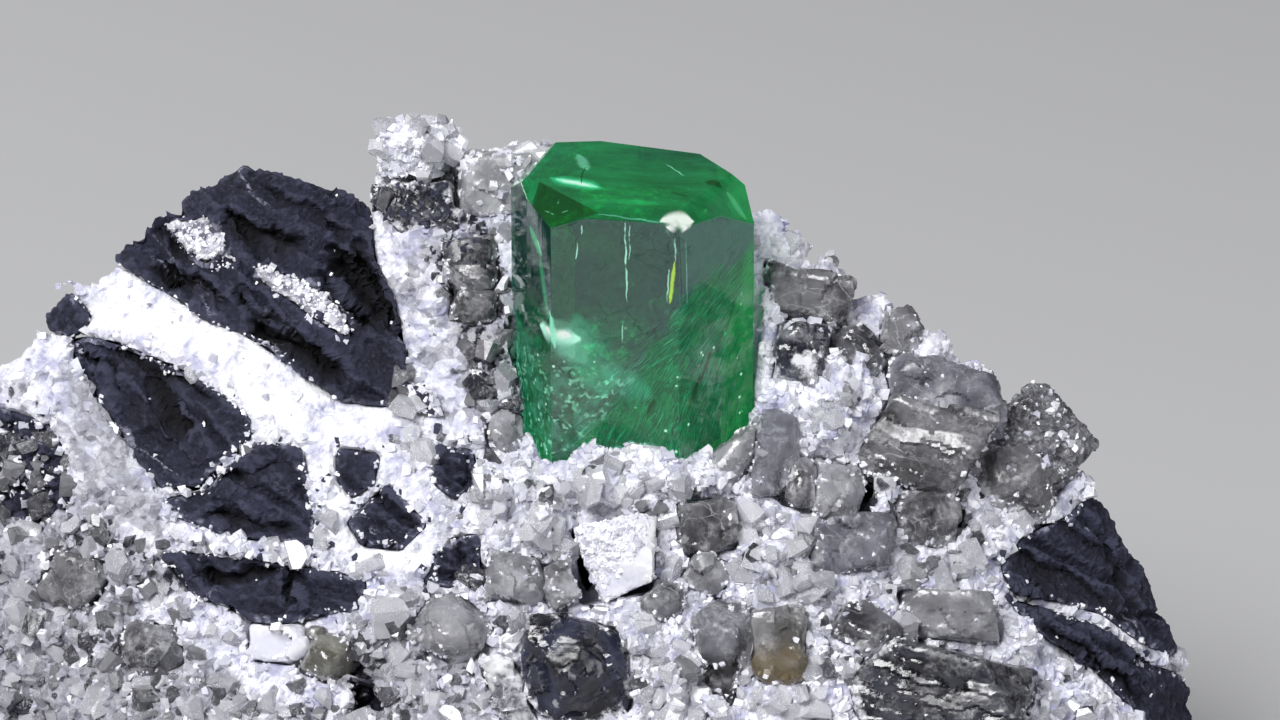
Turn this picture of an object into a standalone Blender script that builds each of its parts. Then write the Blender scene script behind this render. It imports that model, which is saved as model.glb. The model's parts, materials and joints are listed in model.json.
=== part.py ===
"""An emerald crystal standing in a rock of white calcite, black shale and grey calcite crystals.

The rock is a loft that follows a skyline. Slabs of shale run through it from front to back, white calcite
fills the veins between them, and larger crystals sit in pockets of their own. Each piece is one closed
solid, and neighbours keep a thin gap. Sizes are in millimetres until a mesh is written, in metres.

Run it with: blender --background --python part.py
"""

import math
import random
from bisect import bisect_right
from collections import namedtuple

import bmesh
import bpy
from mathutils import Matrix, Vector, noise
from mathutils.bvhtree import BVHTree

MM = 0.001
GAP = 0.3  # air between neighbouring pieces
FLAT_WITHIN = math.radians(0.2)  # faces that agree to this angle are one flat face
SHORTEST_EDGE = 0.02  # a crystal's corners nearer than this are one
SLIVER = 0.004  # points that a cut leaves nearer than this are one

# The face plane: outlines and places on the rock's front are drawn in it, across and up, in millimetres.
FACE_ORIGIN = Vector((2.4, -10.0, 31.6))
FACE_LEAN = math.radians(14)  # it leans back by this angle, square to the dip of the shale
FACE_X = Vector((1, 0, 0))
FACE_UP = Vector((0, math.sin(FACE_LEAN), math.cos(FACE_LEAN)))
FACE_IN = Vector((0, math.cos(FACE_LEAN), -math.sin(FACE_LEAN)))

# The rock's skyline in the face plane, from the left end to the right.
SKYLINE = (
    (-48.0, -19.0), (-46.9, -11.0), (-45.4, -5.0), (-43.5, -0.8), (-41.2, 1.6), (-39.0, 3.0), (-36.9, 4.2),
    (-33.2, 6.8), (-29.5, 8.7), (-26.1, 10.1), (-24.0, 11.2), (-20.9, 10.4), (-18.1, 9.3), (-16.0, 9.0),
    (-14.6, 10.6), (-12.6, 11.6), (-9.2, 11.9), (-5.5, 12.2), (-1.2, 11.4), (3.7, 10.1), (7.1, 9.2),
    (8.4, 8.8), (9.8, 7.2), (12.9, 4.2), (15.4, 2.6), (17.5, 1.5), (19.7, 0.2), (22.1, -1.8), (24.9, -4.3),
    (27.1, -6.3), (28.6, -8.2), (29.9, -9.6), (30.8, -12.6), (32.3, -17.4), (34.2, -21.4), (36.0, -25.0),
)
# Where the ground plan and the ridge lie: x, front foot y, ridge y, back foot y.
PLAN = (
    (-45.4, -6.0, 2.0, 8.5), (-40.0, -11.0, 2.5, 13.5), (-30.0, -15.5, 2.5, 16.5), (-20.0, -18.0, 2.0, 18.5),
    (-8.0, -19.5, 1.4, 19.5), (4.0, -20.0, 1.2, 19.5), (14.0, -19.5, -0.6, 18.5), (24.0, -17.0, -2.0, 15.0),
    (32.0, -12.5, -1.6, 11.0), (38.4, -5.0, 0.0, 5.0),
)
STATION_STEP = 2.7
FRONT_ROWS = 13
BACK_ROWS = 7
FRONT_BULGE = 1.25  # power of the front's profile: over 1 is steeper at the foot
BACK_BULGE = 1.5
LEAST_HEIGHT = 2.6
FOOT_BAND = 0.01  # points nearer the ground than this belong to the flat foot
# Roughness of the white rock: how far lumps stand out, and how wide they are. Broad ones first.
LUMPS = ((1.1, 7.5), (0.55, 2.6))
# Flat breaks that end the rock at its back, left and right: a point on each, and its direction.
BREAKS = (
    ((-27.0, 11.5, 14.0), (-0.38, 0.85, 0.36)), ((0.0, 13.2, 16.0), (0.06, 0.94, 0.34)),
    ((24.0, 8.8, 12.0), (0.50, 0.80, 0.33)), ((-43.6, 0.0, 14.0), (-0.95, 0.05, 0.30)),
    ((-30.0, -13.0, 4.0), (-0.50, -0.86, 0.10)), ((31.0, -9.5, 5.0), (0.62, -0.77, 0.12)),
    ((4.0, 17.0, 5.0), (-0.12, 0.99, -0.10)),
)

# The emerald: a six-sided prism. Its sides go round from the front: right front, right back, back and on.
EMERALD_AXIS_FOOT = Vector((1.85, -3.3, 26.0))
EMERALD_LEAN = math.radians(12)  # the top leans towards the front
EMERALD_TURN = math.radians(-9)
EMERALD_FACES = (5.50, 6.03, 6.80, 5.95, 6.03, 6.80)  # distance of each side from the axis
EMERALD_TOP = 16.5
EMERALD_BURIED = 3.0
PRISM_AND_TOP_BEVEL = math.radians(62)  # height angle of the narrow faces between the sides and the top
CORNER_BEVEL = math.radians(50)
# How far the narrow faces lie inside the edge that they cut: one for each side, then one for each corner.
EDGE_CUTS = (0.45, 0.60, 1.10, 0.45, 0.55, 1.05)
CORNER_CUTS = (0.66, 0.95, 0.70, 0.50, 0.55, 1.40)

# Nothing of the rock stands in front of the emerald within this outline, down to where it is rooted.
EMERALD_WINDOW = (
    (-8.2, 14.2), (7.6, 14.2), (7.5, -2.4), (6.6, -4.3), (4.5, -5.7), (0.0, -5.8), (-2.4, -5.3),
    (-5.7, -6.6), (-6.6, -4.8), (-7.4, -1.2), (-8.2, 3.6),
)
WINDOW_BACK = 6.6

# Outlines of the shale pieces in the face plane, with how far each stands out of the white rock.
Slab = namedtuple("Slab", "name proud outline")
SHALE = (
    Slab("shale_upper_slab", 0.5, (
        (-32.3, 6.2), (-30.4, 9.2), (-27.0, 12.0), (-22.0, 14.0), (-17.5, 12.0), (-16.6, 9.0), (-16.4, 6.2),
        (-15.2, 3.6), (-14.4, 0.8), (-14.2, -1.5), (-12.9, -2.1), (-12.1, -3.3), (-14.5, -2.8), (-17.9, -2.5),
        (-19.5, -1.5), (-22.4, 0.6), (-24.6, 1.9), (-27.3, 3.2), (-29.7, 4.6))),
    Slab("shale_lower_slab", 0.3, (
        (-35.0, 0.9), (-33.9, 1.4), (-32.1, 0.9), (-28.2, -0.6), (-25.8, -2.1), (-23.8, -3.6), (-23.6, -4.5),
        (-25.8, -6.5), (-26.9, -7.6), (-29.1, -7.7), (-30.3, -6.4), (-32.1, -3.6), (-34.2, -0.6))),
    Slab("shale_lower_wedge", 0.4, (
        (-28.9, -8.6), (-26.3, -8.0), (-24.9, -6.5), (-22.9, -5.1), (-20.6, -5.5), (-20.1, -8.5),
        (-19.6, -11.2), (-22.4, -10.9), (-25.1, -10.5), (-27.5, -9.7))),
    Slab("shale_bottom_lens", 0.2, (
        (-28.9, -11.9), (-25.8, -11.8), (-22.4, -12.3), (-18.8, -12.9), (-16.6, -13.4), (-16.8, -14.8),
        (-20.0, -15.6), (-22.9, -15.9), (-25.1, -14.9), (-27.3, -13.9))),
    Slab("shale_vein_chip_upper", 0.1, ((-18.3, -5.5), (-15.9, -5.8), (-16.2, -7.4), (-17.4, -8.3), (-18.3, -7.3))),
    Slab("shale_vein_chip_lower", 0.2, (
        (-17.6, -9.9), (-15.9, -8.2), (-15.2, -7.7), (-14.0, -8.8), (-13.0, -10.0), (-14.4, -11.4),
        (-16.7, -11.2))),
    Slab("shale_left_edge", -0.2, (
        (-49.0, -2.4), (-38.8, -3.2), (-36.4, -4.0), (-35.0, -6.1), (-34.6, -8.5), (-36.4, -10.3),
        (-39.0, -9.2), (-49.0, -10.2))),
    Slab("shale_left_knob", 0.5, ((-36.8, 3.4), (-35.2, 4.3), (-33.8, 2.6), (-34.7, 1.6), (-36.2, 1.8))),
    Slab("shale_vein_block", 0.1, ((-12.2, -5.4), (-10.2, -5.5), (-9.8, -7.3), (-11.2, -8.4), (-12.5, -7.3))),
    Slab("shale_fringe_block", 0.0, (
        (-11.3, -10.9), (-9.8, -10.6), (-9.7, -12.7), (-11.2, -13.6), (-13.0, -13.5), (-12.2, -12.1))),
    Slab("shale_right_slab", 0.3, (
        (22.1, -12.6), (23.4, -10.9), (26.2, -9.7), (28.4, -7.6), (31.5, -8.2), (34.0, -12.0), (35.0, -17.5),
        (32.6, -18.3), (30.4, -17.0), (28.2, -15.4), (25.5, -14.6), (22.7, -14.0))),
    Slab("shale_right_tongue", 0.1, (
        (22.5, -14.7), (24.8, -15.4), (27.2, -16.2), (29.3, -17.4), (31.4, -18.9), (34.4, -20.0), (39.0, -24.0),
        (37.0, -27.5), (32.6, -23.6), (29.7, -20.8), (27.6, -18.6), (24.8, -16.9))),
)
# Thin seams of white calcite that lie within the upper slab.
SEAMS = (
    Slab("calcite_seam_upper", 0.75, ((-28.6, 8.2), (-26.6, 8.5), (-25.6, 7.0), (-26.5, 6.1), (-27.6, 6.9))),
    Slab("calcite_seam_middle", 0.75, (
        (-22.9, 5.4), (-20.6, 4.6), (-18.4, 3.0), (-17.8, 1.6), (-19.4, 2.4), (-21.3, 3.8), (-23.0, 4.9))),
)
BEYOND = 45.0  # a distance from the face plane that is outside the rock, in front and behind
LEDGE_PITCH = 2.6  # thickness of one bed of shale
LEDGE_STEP = 0.55
LEDGE_WIDTH = 6.0
BED_TILT = math.radians(33)  # the beds run down to the right

RHOMB_SLANT = 0.28  # how far a rhomb's ends lean, as a slope
RHOMB_SKEW = 0.12
CRYSTAL_FACETS = 13

# Single crystals: place in the face plane, size across, up and deep, roll, form, share sunk in the rock.
Crystal = namedtuple("Crystal", "name finish across up width height depth roll form sink seed")
CRYSTALS = (
    Crystal("calcite_upper_block", "white", -8.3, 11.0, 6.2, 3.4, 5.5, 6, "block", 0.50, 3),
    Crystal("calcite_cap", "white", -13.7, 12.9, 5.0, 4.2, 5.5, 20, "grain", 0.65, 4),
    Crystal("dark_neck", "dark", -13.2, 9.6, 6.4, 5.6, 6.4, -35, "grain", 0.62, 5),
    Crystal("grey_crystal_emerald_left", "smoky", -10.2, 5.8, 2.8, 2.8, 3.2, 10, "block", 0.45, 6),
    Crystal("brown_crystal_emerald_left", "grey", -10.1, 3.4, 2.6, 1.7, 3.0, -4, "block", 0.45, 7),
    Crystal("pale_crystal_emerald_foot", "pale", -8.3, -4.4, 2.1, 2.4, 2.8, 12, "grain", 0.45, 8),
    Crystal("grey_crystal_ridge", "grey", 10.0, 3.9, 4.8, 2.5, 4.0, -15, "rhomb", 0.40, 9),
    Crystal("dark_crystal_right", "dark", 9.9, 0.4, 2.8, 3.6, 4.0, -6, "block", 0.45, 10),
    Crystal("smoky_crystal_upper", "smoky", 13.2, 0.3, 3.4, 2.5, 3.6, -24, "grain", 0.42, 11),
    Crystal("grey_crystal_rim", "grey", 16.1, 1.5, 2.4, 2.9, 3.0, 4, "grain", 0.40, 12),
    Crystal("large_crystal_slope", "lavender", 18.5, -2.4, 6.6, 3.4, 5.0, -15, "rhomb", 0.42, 13),
    Crystal("smoky_crystal_corner", "smoky", 24.6, -4.7, 6.0, 4.9, 5.5, -25, "grain", 0.45, 14),
    Crystal("striated_crystal", "grey", 17.0, -5.6, 6.0, 4.8, 5.5, -14, "rhomb", 0.38, 15),
    Crystal("large_crystal_lower_slope", "grey", 22.6, -7.4, 6.4, 4.6, 5.5, -15, "grain", 0.42, 16),
    Crystal("tall_crystal_emerald_right", "lavender", 7.9, -5.4, 2.3, 5.2, 3.4, -8, "prism", 0.36, 17),
    Crystal("pale_crystal_emerald_right", "pale", 5.6, -5.2, 2.3, 3.8, 3.4, -28, "prism", 0.34, 18),
    Crystal("brown_crystal_emerald_right", "grey", 9.6, -7.4, 1.6, 3.0, 2.8, -12, "prism", 0.42, 19),
    Crystal("round_crystal_right", "pale", 11.6, -8.0, 3.6, 3.7, 4.0, 10, "grain", 0.40, 20),
    Crystal("lavender_crystal_right", "lavender", 12.6, -11.5, 4.6, 2.8, 4.0, 10, "rhomb", 0.42, 21),
    Crystal("grey_crystal_hollow", "grey", 17.2, -9.8, 4.6, 2.8, 4.0, 12, "grain", 0.50, 22),
    Crystal("grey_rhomb_right", "grey", 18.7, -15.6, 5.3, 2.6, 4.0, -3, "rhomb", 0.42, 23),
    Crystal("speckled_crystal_right", "smoky", 13.6, -16.5, 3.9, 2.8, 3.8, -15, "grain", 0.42, 24),
    Crystal("dark_prism_foot", "dark", 18.0, -20.6, 10.2, 6.0, 7.0, -14, "block", 0.42, 25),
    Crystal("white_rhomb", "white", -1.4, -12.0, 4.4, 4.4, 4.4, 12, "rhomb", 0.40, 26),
    Crystal("grey_cone_crystal", "smoky", 1.4, -14.4, 2.1, 2.0, 2.6, 0, "grain", 0.36, 27),
    Crystal("dark_blue_crystal", "dark", -3.6, -18.7, 6.6, 6.6, 6.5, 8, "grain", 0.42, 28),
    Crystal("silver_blade", "mica", -8.0, -19.9, 1.8, 4.8, 3.4, 20, "prism", 0.42, 29),
    Crystal("two_tone_crystal", "smoky", 4.9, -17.4, 3.3, 6.2, 4.4, -4, "prism", 0.40, 30),
    Crystal("amber_crystal", "amber", 8.3, -17.1, 3.0, 4.0, 3.8, 0, "block", 0.42, 31),
    Crystal("pale_crystal_lower_left", "pale", -11.2, -16.2, 4.4, 3.8, 4.4, -16, "grain", 0.40, 32),
    Crystal("pale_crystal_centre", "pale", -7.6, -13.2, 3.6, 2.8, 3.6, 14, "grain", 0.40, 33),
    Crystal("pale_crystal_beside_rhomb", "pale", -4.9, -13.6, 1.9, 2.5, 3.0, 22, "block", 0.40, 34),
    Crystal("streaked_crystal", "grey", 4.0, -10.0, 3.3, 2.9, 3.4, 4, "block", 0.42, 35),
    Crystal("beige_crystal", "grey", 4.0, -12.9, 2.6, 2.1, 3.0, -20, "grain", 0.40, 36),
    Crystal("amber_crystal_foot", "amber", -18.8, -18.0, 3.0, 2.8, 3.4, 0, "grain", 0.42, 37),
    Crystal("white_crystal_foot", "white", -22.0, -17.2, 3.1, 2.0, 3.0, -6, "rhomb", 0.42, 38),
    Crystal("grey_crystal_left_foot", "grey", -34.4, -13.4, 3.6, 2.7, 3.4, -12, "rhomb", 0.45, 39),
    Crystal("grey_crystal_left_base", "smoky", -29.6, -17.6, 4.0, 3.0, 3.8, 14, "grain", 0.45, 40),
)

# Small grains fused to the white rock. Each patch is a box in the face plane, and the grains' reach in it.
Patch = namedtuple("Patch", "left right low high count least most")
FRONT_PATCHES = (
    Patch(6.0, 28.0, -20.0, 6.0, 60, 0.9, 1.7),
    Patch(-12.0, 6.0, -25.0, -6.5, 44, 0.9, 1.7),
    Patch(-44.0, -12.0, -28.0, -12.5, 34, 1.0, 2.1),
    Patch(-12.5, -8.5, -5.0, 10.0, 10, 0.7, 1.2),
    Patch(-20.0, 26.0, -31.0, -25.0, 9, 1.4, 2.4),
)
BACK_PATCHES = (Patch(-34.0, 28.0, -26.0, 4.0, 16, 2.2, 4.2),)
FRONT_SUNK = 0.25  # share of its reach by which a grain's middle lies under the surface
BACK_SUNK = 0.62
GRAIN_FACETS = 9
CLEAR_OF_CRYSTALS = 0.35  # share of its reach by which a grain's middle keeps off a single crystal
LEAST_REST = 0.6  # a grain stays this far above the flat foot
SKY_GRAINS = (  # grains that make the ridge beside the emerald knobbly
    (-10.9, 13.0, 1.3), (-8.6, 13.3, 1.0), (-6.4, 13.2, 0.9), (8.0, 8.8, 0.9), (9.4, 7.4, 0.9),
    (11.4, 5.6, 1.0), (14.2, 3.2, 1.0), (20.4, -0.5, 1.0), (27.6, -8.0, 1.0), (-35.0, 4.4, 0.8),
)

# Principled BSDF values of each finish: base colour, roughness, transmission.
FINISHES = {
    "emerald": ((0.02, 0.42, 0.16), 0.08, 0.9),
    "white": ((0.86, 0.86, 0.90), 0.55, 0.0),
    "pale": ((0.66, 0.66, 0.66), 0.25, 0.3),
    "grey": ((0.42, 0.41, 0.39), 0.25, 0.3),
    "lavender": ((0.50, 0.50, 0.56), 0.25, 0.3),
    "smoky": ((0.24, 0.23, 0.23), 0.22, 0.3),
    "amber": ((0.42, 0.36, 0.24), 0.25, 0.3),
    "dark": ((0.05, 0.05, 0.07), 0.35, 0.0),
    "mica": ((0.55, 0.55, 0.56), 0.20, 0.0),
    "shale": ((0.035, 0.035, 0.05), 0.85, 0.0),
}


# ---------------------------------------------------------------- scene, materials and small helpers

def clear_scene():
    for obj in list(bpy.data.objects):
        bpy.data.objects.remove(obj, do_unlink=True)


def make_collection(name):
    collection = bpy.data.collections.new(name)
    bpy.context.scene.collection.children.link(collection)
    return collection


def make_materials():
    """One Principled material for each finish."""
    materials = {}
    for name, (colour, roughness, transmission) in FINISHES.items():
        material = bpy.data.materials.new(name)
        material.use_nodes = True
        shader = material.node_tree.nodes["Principled BSDF"]
        shader.inputs["Base Color"].default_value = (*colour, 1.0)
        shader.inputs["Roughness"].default_value = roughness
        shader.inputs["Transmission Weight"].default_value = transmission
        shader.inputs["Metallic"].default_value = 0.0
        materials[name] = material
    return materials


def in_row(table, x, column):
    """Straight-line value of a table's column at x, where column 0 holds x."""
    rows = [row[0] for row in table]
    i = min(max(bisect_right(rows, x), 1), len(rows) - 1)
    left, right = table[i - 1], table[i]
    share = min(max((x - left[0]) / (right[0] - left[0]), 0.0), 1.0)
    return left[column] + share * (right[column] - left[column])


def face_point(across, up, inward=0.0):
    return FACE_ORIGIN + across * FACE_X + up * FACE_UP + inward * FACE_IN


def object_from(bm, name, collection, material=None):
    """Writes a bmesh in millimetres as a mesh object in metres."""
    bmesh.ops.scale(bm, vec=(MM, MM, MM), verts=bm.verts)
    bmesh.ops.recalc_face_normals(bm, faces=bm.faces)
    mesh = bpy.data.meshes.new(name)
    bm.to_mesh(mesh)
    bm.free()
    if material:
        mesh.materials.append(material)
    obj = bpy.data.objects.new(name, mesh)
    collection.objects.link(obj)
    return obj


def as_cutter(obj):
    obj.hide_render = True
    obj.display_type = "WIRE"
    return obj


# ---------------------------------------------------------------- the rock's outer form

def ridge_height(x, ridge_y):
    """Height of the ridge at x, from the skyline in the face plane."""
    up = in_row(SKYLINE, x - FACE_ORIGIN.x, 1)
    height = FACE_ORIGIN.z + (up - (ridge_y - FACE_ORIGIN.y) * FACE_UP.y) / FACE_UP.z
    return max(height, LEAST_HEIGHT)


def section(x):
    """Points of the rock's section at x: up the front, over the ridge and down the back."""
    front, ridge, back = (in_row(PLAN, x, column) for column in (1, 2, 3))
    height = ridge_height(x, ridge)
    points = []
    for row in range(FRONT_ROWS + 1):
        share = row / FRONT_ROWS
        points.append(Vector((x, front + (ridge - front) * share ** FRONT_BULGE, height * share)))
    for row in range(1, BACK_ROWS + 1):
        share = 1 - row / BACK_ROWS
        points.append(Vector((x, back + (ridge - back) * share ** BACK_BULGE, height * share)))
    return points


def lumps(point):
    """The white rock's roughness at a point: broad lumps with smaller knobs on them."""
    return sum(rise * noise.noise(point / width + Vector((3, 1, 5)) * width) for rise, width in LUMPS)


def ledges(point):
    """The shale's roughness at a point: beds that step in and out, each nearly flat along its run."""
    across_beds = point.x * math.sin(BED_TILT) + point.z * math.cos(BED_TILT)
    bed = math.floor(across_beds / LEDGE_PITCH)
    whole_bed = noise.noise(Vector((bed * 3.7, 0.5, 0.5)))
    along_bed = noise.noise(point / LEDGE_WIDTH + Vector((bed, 0, 9)))
    return LEDGE_STEP * (2 * whole_bed + along_bed)


def rock_shell(name, relief, proud, collection):
    """Lofts the sections into one closed rock and roughens it. Its foot stays flat."""
    first, last = PLAN[0][0], PLAN[-1][0]
    stations = math.ceil((last - first) / STATION_STEP)
    bm = bmesh.new()
    rings = []
    for station in range(stations + 1):
        x = first + (last - first) * station / stations
        rings.append([bm.verts.new(point) for point in section(x)])
    for left, right in zip(rings, rings[1:]):
        for row in range(len(left) - 1):
            bm.faces.new((left[row], right[row], right[row + 1], left[row + 1]))
        bm.faces.new((left[-1], right[-1], right[0], left[0]))
    bm.faces.new(rings[0])
    bm.faces.new(rings[-1])
    bmesh.ops.recalc_face_normals(bm, faces=bm.faces)
    bm.normal_update()
    for vert in bm.verts:
        on_foot = vert.co.z < FOOT_BAND
        vert.co += vert.normal * (relief(vert.co) + proud)
        vert.co.z = 0.0 if on_foot else max(vert.co.z, FOOT_BAND)
    for point, outward in BREAKS:
        outward = Vector(outward).normalized()
        cleave(bm, outward, Vector(point).dot(outward) + proud)
    bmesh.ops.triangulate(bm, faces=bm.faces)
    return object_from(bm, name, collection)


def surface_of(obj):
    """A tree of the rock's surface in millimetres, for placing things on it."""
    bm = bmesh.new()
    bm.from_mesh(obj.data)
    bmesh.ops.scale(bm, vec=(1 / MM,) * 3, verts=bm.verts)
    tree = BVHTree.FromBMesh(bm)
    bm.free()
    return tree


# ---------------------------------------------------------------- crystals cut by flat planes

def cleave(bm, normal, distance):
    """Cuts off all that lies beyond a plane and closes the cut with one flat face."""
    cut = bmesh.ops.bisect_plane(
        bm, geom=bm.verts[:] + bm.edges[:] + bm.faces[:], plane_co=normal * distance, plane_no=normal,
        clear_outer=True)
    edges = [item for item in cut["geom_cut"] if isinstance(item, bmesh.types.BMEdge)]
    if edges:
        bmesh.ops.holes_fill(bm, edges=edges)


def block_bmesh(planes, reach):
    """A convex solid: a cube of this reach, cleaved by planes given as (normal, distance)."""
    bm = bmesh.new()
    bmesh.ops.create_cube(bm, size=2 * reach)
    for normal, distance in planes:
        cleave(bm, normal, distance)
    bmesh.ops.remove_doubles(bm, verts=bm.verts, dist=SHORTEST_EDGE)
    bmesh.ops.dissolve_degenerate(bm, edges=bm.edges, dist=SHORTEST_EDGE)
    return bm


def direction(azimuth, height_angle):
    level = math.cos(height_angle)
    return Vector((level * math.cos(azimuth), level * math.sin(azimuth), math.sin(height_angle)))


def around_ellipsoid(half, normal, share):
    """A plane that touches an ellipsoid of these half sizes, moved in to a share of its distance."""
    reach = Vector((half.x * normal.x, half.y * normal.y, half.z * normal.z)).length
    return normal, reach * share


def crystal_planes(form, half, seed, facets=CRYSTAL_FACETS):
    """The cleavage planes of one crystal form, in its own frame: x across, y deep, z up."""
    dice = random.Random(seed)
    box = [(Vector(axis), abs(Vector(axis).dot(half))) for axis in (
        (1, 0, 0), (-1, 0, 0), (0, 1, 0), (0, -1, 0), (0, 0, 1), (0, 0, -1))]
    if form == "rhomb":
        slant = dice.choice((-RHOMB_SLANT, RHOMB_SLANT))
        pairs = ((Vector((1, RHOMB_SKEW, slant)), half.x), (Vector((RHOMB_SKEW, 1, RHOMB_SKEW)), half.y),
                 (Vector((0, RHOMB_SKEW, 1)), half.z))
        planes = [(sign * normal.normalized(), distance) for normal, distance in pairs for sign in (1, -1)]
        corner_count, low, high = facets - 7, 0.80, 0.92
    elif form == "prism":
        planes = [around_ellipsoid(half, direction(math.radians(60 * k + 12), 0), dice.uniform(0.84, 0.96))
                  for k in range(6)]
        planes += [around_ellipsoid(half, direction(math.radians(120 * k + 30), math.radians(52)), 0.90)
                   for k in range(3)]
        planes += box[4:]
        corner_count, low, high = 2, 0.84, 0.95
    elif form == "block":
        planes = box
        corner_count, low, high = facets - 6, 0.74, 0.90
    else:
        spread = [(math.radians(137.5 * k + dice.uniform(-20, 20)), math.asin(1 - (2 * k + 1) / facets))
                  for k in range(facets)]
        planes = [around_ellipsoid(half, direction(*angles), dice.uniform(0.84, 1.0)) for angles in spread]
        corner_count, low, high = 0, 1, 1
    for _ in range(corner_count):
        normal = Vector([dice.choice((-1, 1)) * dice.uniform(0.35, 1.0) for _ in range(3)]).normalized()
        shift = dice.uniform(low, high)
        corner = Vector((abs(normal.x) * half.x, abs(normal.y) * half.y, abs(normal.z) * half.z))
        planes.append((normal, (corner.x + corner.y + corner.z) * shift))
    return planes


def place(obj, centre, roll, seed):
    """Stands a crystal at a point in millimetres, rolled in the face plane, with a small tilt of its own."""
    dice = random.Random(seed * 31)
    tilt = Matrix.Rotation(math.radians(dice.uniform(-9, 9)), 4, "X")
    turn = Matrix.Rotation(math.radians(dice.uniform(-12, 12)), 4, "Z")
    rolled = Matrix.Rotation(-math.radians(roll), 4, "Y")
    lean = Matrix.Rotation(-FACE_LEAN, 4, "X")
    obj.matrix_world = Matrix.Translation(centre * MM) @ lean @ rolled @ turn @ tilt


def make_crystal(spec, centre, collection, cutters, material):
    """One crystal, and the slightly larger jacket that keeps its pocket clear."""
    half = Vector((spec.width, spec.depth, spec.height)) / 2
    planes = crystal_planes(spec.form, half, spec.seed)
    reach = max(half) * 1.6
    crystal = object_from(block_bmesh(planes, reach), spec.name, collection, material)
    grown = [(normal, distance + GAP) for normal, distance in planes]
    jacket = as_cutter(object_from(block_bmesh(grown, reach + GAP), spec.name + "_pocket", cutters))
    for obj in (crystal, jacket):
        place(obj, centre, spec.roll, spec.seed)
    return crystal, jacket


def emerald_planes(extra=0.0):
    """The emerald's faces: six sides, top, foot, and narrow faces along the top's edges and corners."""
    planes = [(Vector((0, 0, 1)), EMERALD_TOP + extra), (Vector((0, 0, -1)), EMERALD_BURIED + extra)]
    sides = []
    for k in range(6):
        azimuth = EMERALD_TURN + math.radians(60 * k - 90)
        sides.append((azimuth, EMERALD_FACES[k]))
        planes.append((direction(azimuth, 0), EMERALD_FACES[k] + extra))
    for k, (azimuth, distance) in enumerate(sides):
        edge = distance * math.cos(PRISM_AND_TOP_BEVEL) + EMERALD_TOP * math.sin(PRISM_AND_TOP_BEVEL)
        planes.append((direction(azimuth, PRISM_AND_TOP_BEVEL), edge - EDGE_CUTS[k] + extra))
        following, next_distance = sides[(k + 1) % 6]
        corner = corner_of(azimuth, distance, following, next_distance)
        outward = math.atan2(corner.y, corner.x)
        reach = corner.length * math.cos(CORNER_BEVEL) + EMERALD_TOP * math.sin(CORNER_BEVEL)
        planes.append((direction(outward, CORNER_BEVEL), reach - CORNER_CUTS[k] + extra))
    return planes


def corner_of(azimuth, distance, other_azimuth, other_distance):
    """Where two upright faces meet, seen from above."""
    a, b = direction(azimuth, 0), direction(other_azimuth, 0)
    cross = a.x * b.y - a.y * b.x
    return Vector(((distance * b.y - other_distance * a.y) / cross,
                   (other_distance * a.x - distance * b.x) / cross, 0))


def make_emerald(collection, cutters, material):
    lean = Matrix.Rotation(EMERALD_LEAN, 4, "X")
    stand = Matrix.Translation(EMERALD_AXIS_FOOT * MM) @ lean
    emerald = object_from(block_bmesh(emerald_planes(), 24.0), "emerald_crystal", collection, material)
    jacket = as_cutter(object_from(block_bmesh(emerald_planes(GAP), 25.0), "emerald_pocket", cutters))
    emerald.matrix_world = stand
    jacket.matrix_world = stand
    return emerald, jacket


# ---------------------------------------------------------------- slabs that run through the rock

def outline_prism(name, outline, grow, collection, back=BEYOND):
    """A flat outline in the face plane, made a solid that runs through the rock along its dip."""
    curve = bpy.data.curves.new(name, "CURVE")
    curve.dimensions = "2D"
    curve.fill_mode = "BOTH"
    curve.extrude = (BEYOND + back) / 2 * MM
    curve.offset = grow * MM
    spline = curve.splines.new("POLY")
    spline.points.add(len(outline) - 1)
    for point, (across, up) in zip(spline.points, outline):
        point.co = (across * MM, up * MM, 0, 1)
    spline.use_cyclic_u = True
    drawn = bpy.data.objects.new(name + "_outline", curve)
    collection.objects.link(drawn)
    middle = face_point(0, 0, (back - BEYOND) / 2) * MM
    drawn.matrix_world = Matrix.Translation(middle) @ Matrix.Rotation(math.pi / 2 - FACE_LEAN, 4, "X")
    bpy.context.view_layer.update()
    evaluated = drawn.evaluated_get(bpy.context.evaluated_depsgraph_get())
    mesh = bpy.data.meshes.new_from_object(evaluated)
    obj = bpy.data.objects.new(name, mesh)
    collection.objects.link(obj)
    obj.matrix_world = drawn.matrix_world
    bpy.data.objects.remove(drawn, do_unlink=True)
    bm = bmesh.new()
    bm.from_mesh(mesh)
    bmesh.ops.remove_doubles(bm, verts=bm.verts, dist=1e-6)
    bmesh.ops.recalc_face_normals(bm, faces=bm.faces)
    bm.to_mesh(mesh)
    bm.free()
    return obj


def add_boolean(obj, operation, other):
    """Adds a Boolean with one object, or with a collection of them."""
    modifier = obj.modifiers.new(operation.lower(), "BOOLEAN")
    modifier.operation = operation
    modifier.solver = "EXACT"
    if isinstance(other, bpy.types.Collection):
        modifier.operand_type = "COLLECTION"
        modifier.collection = other
    else:
        modifier.object = other
    return modifier


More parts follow.
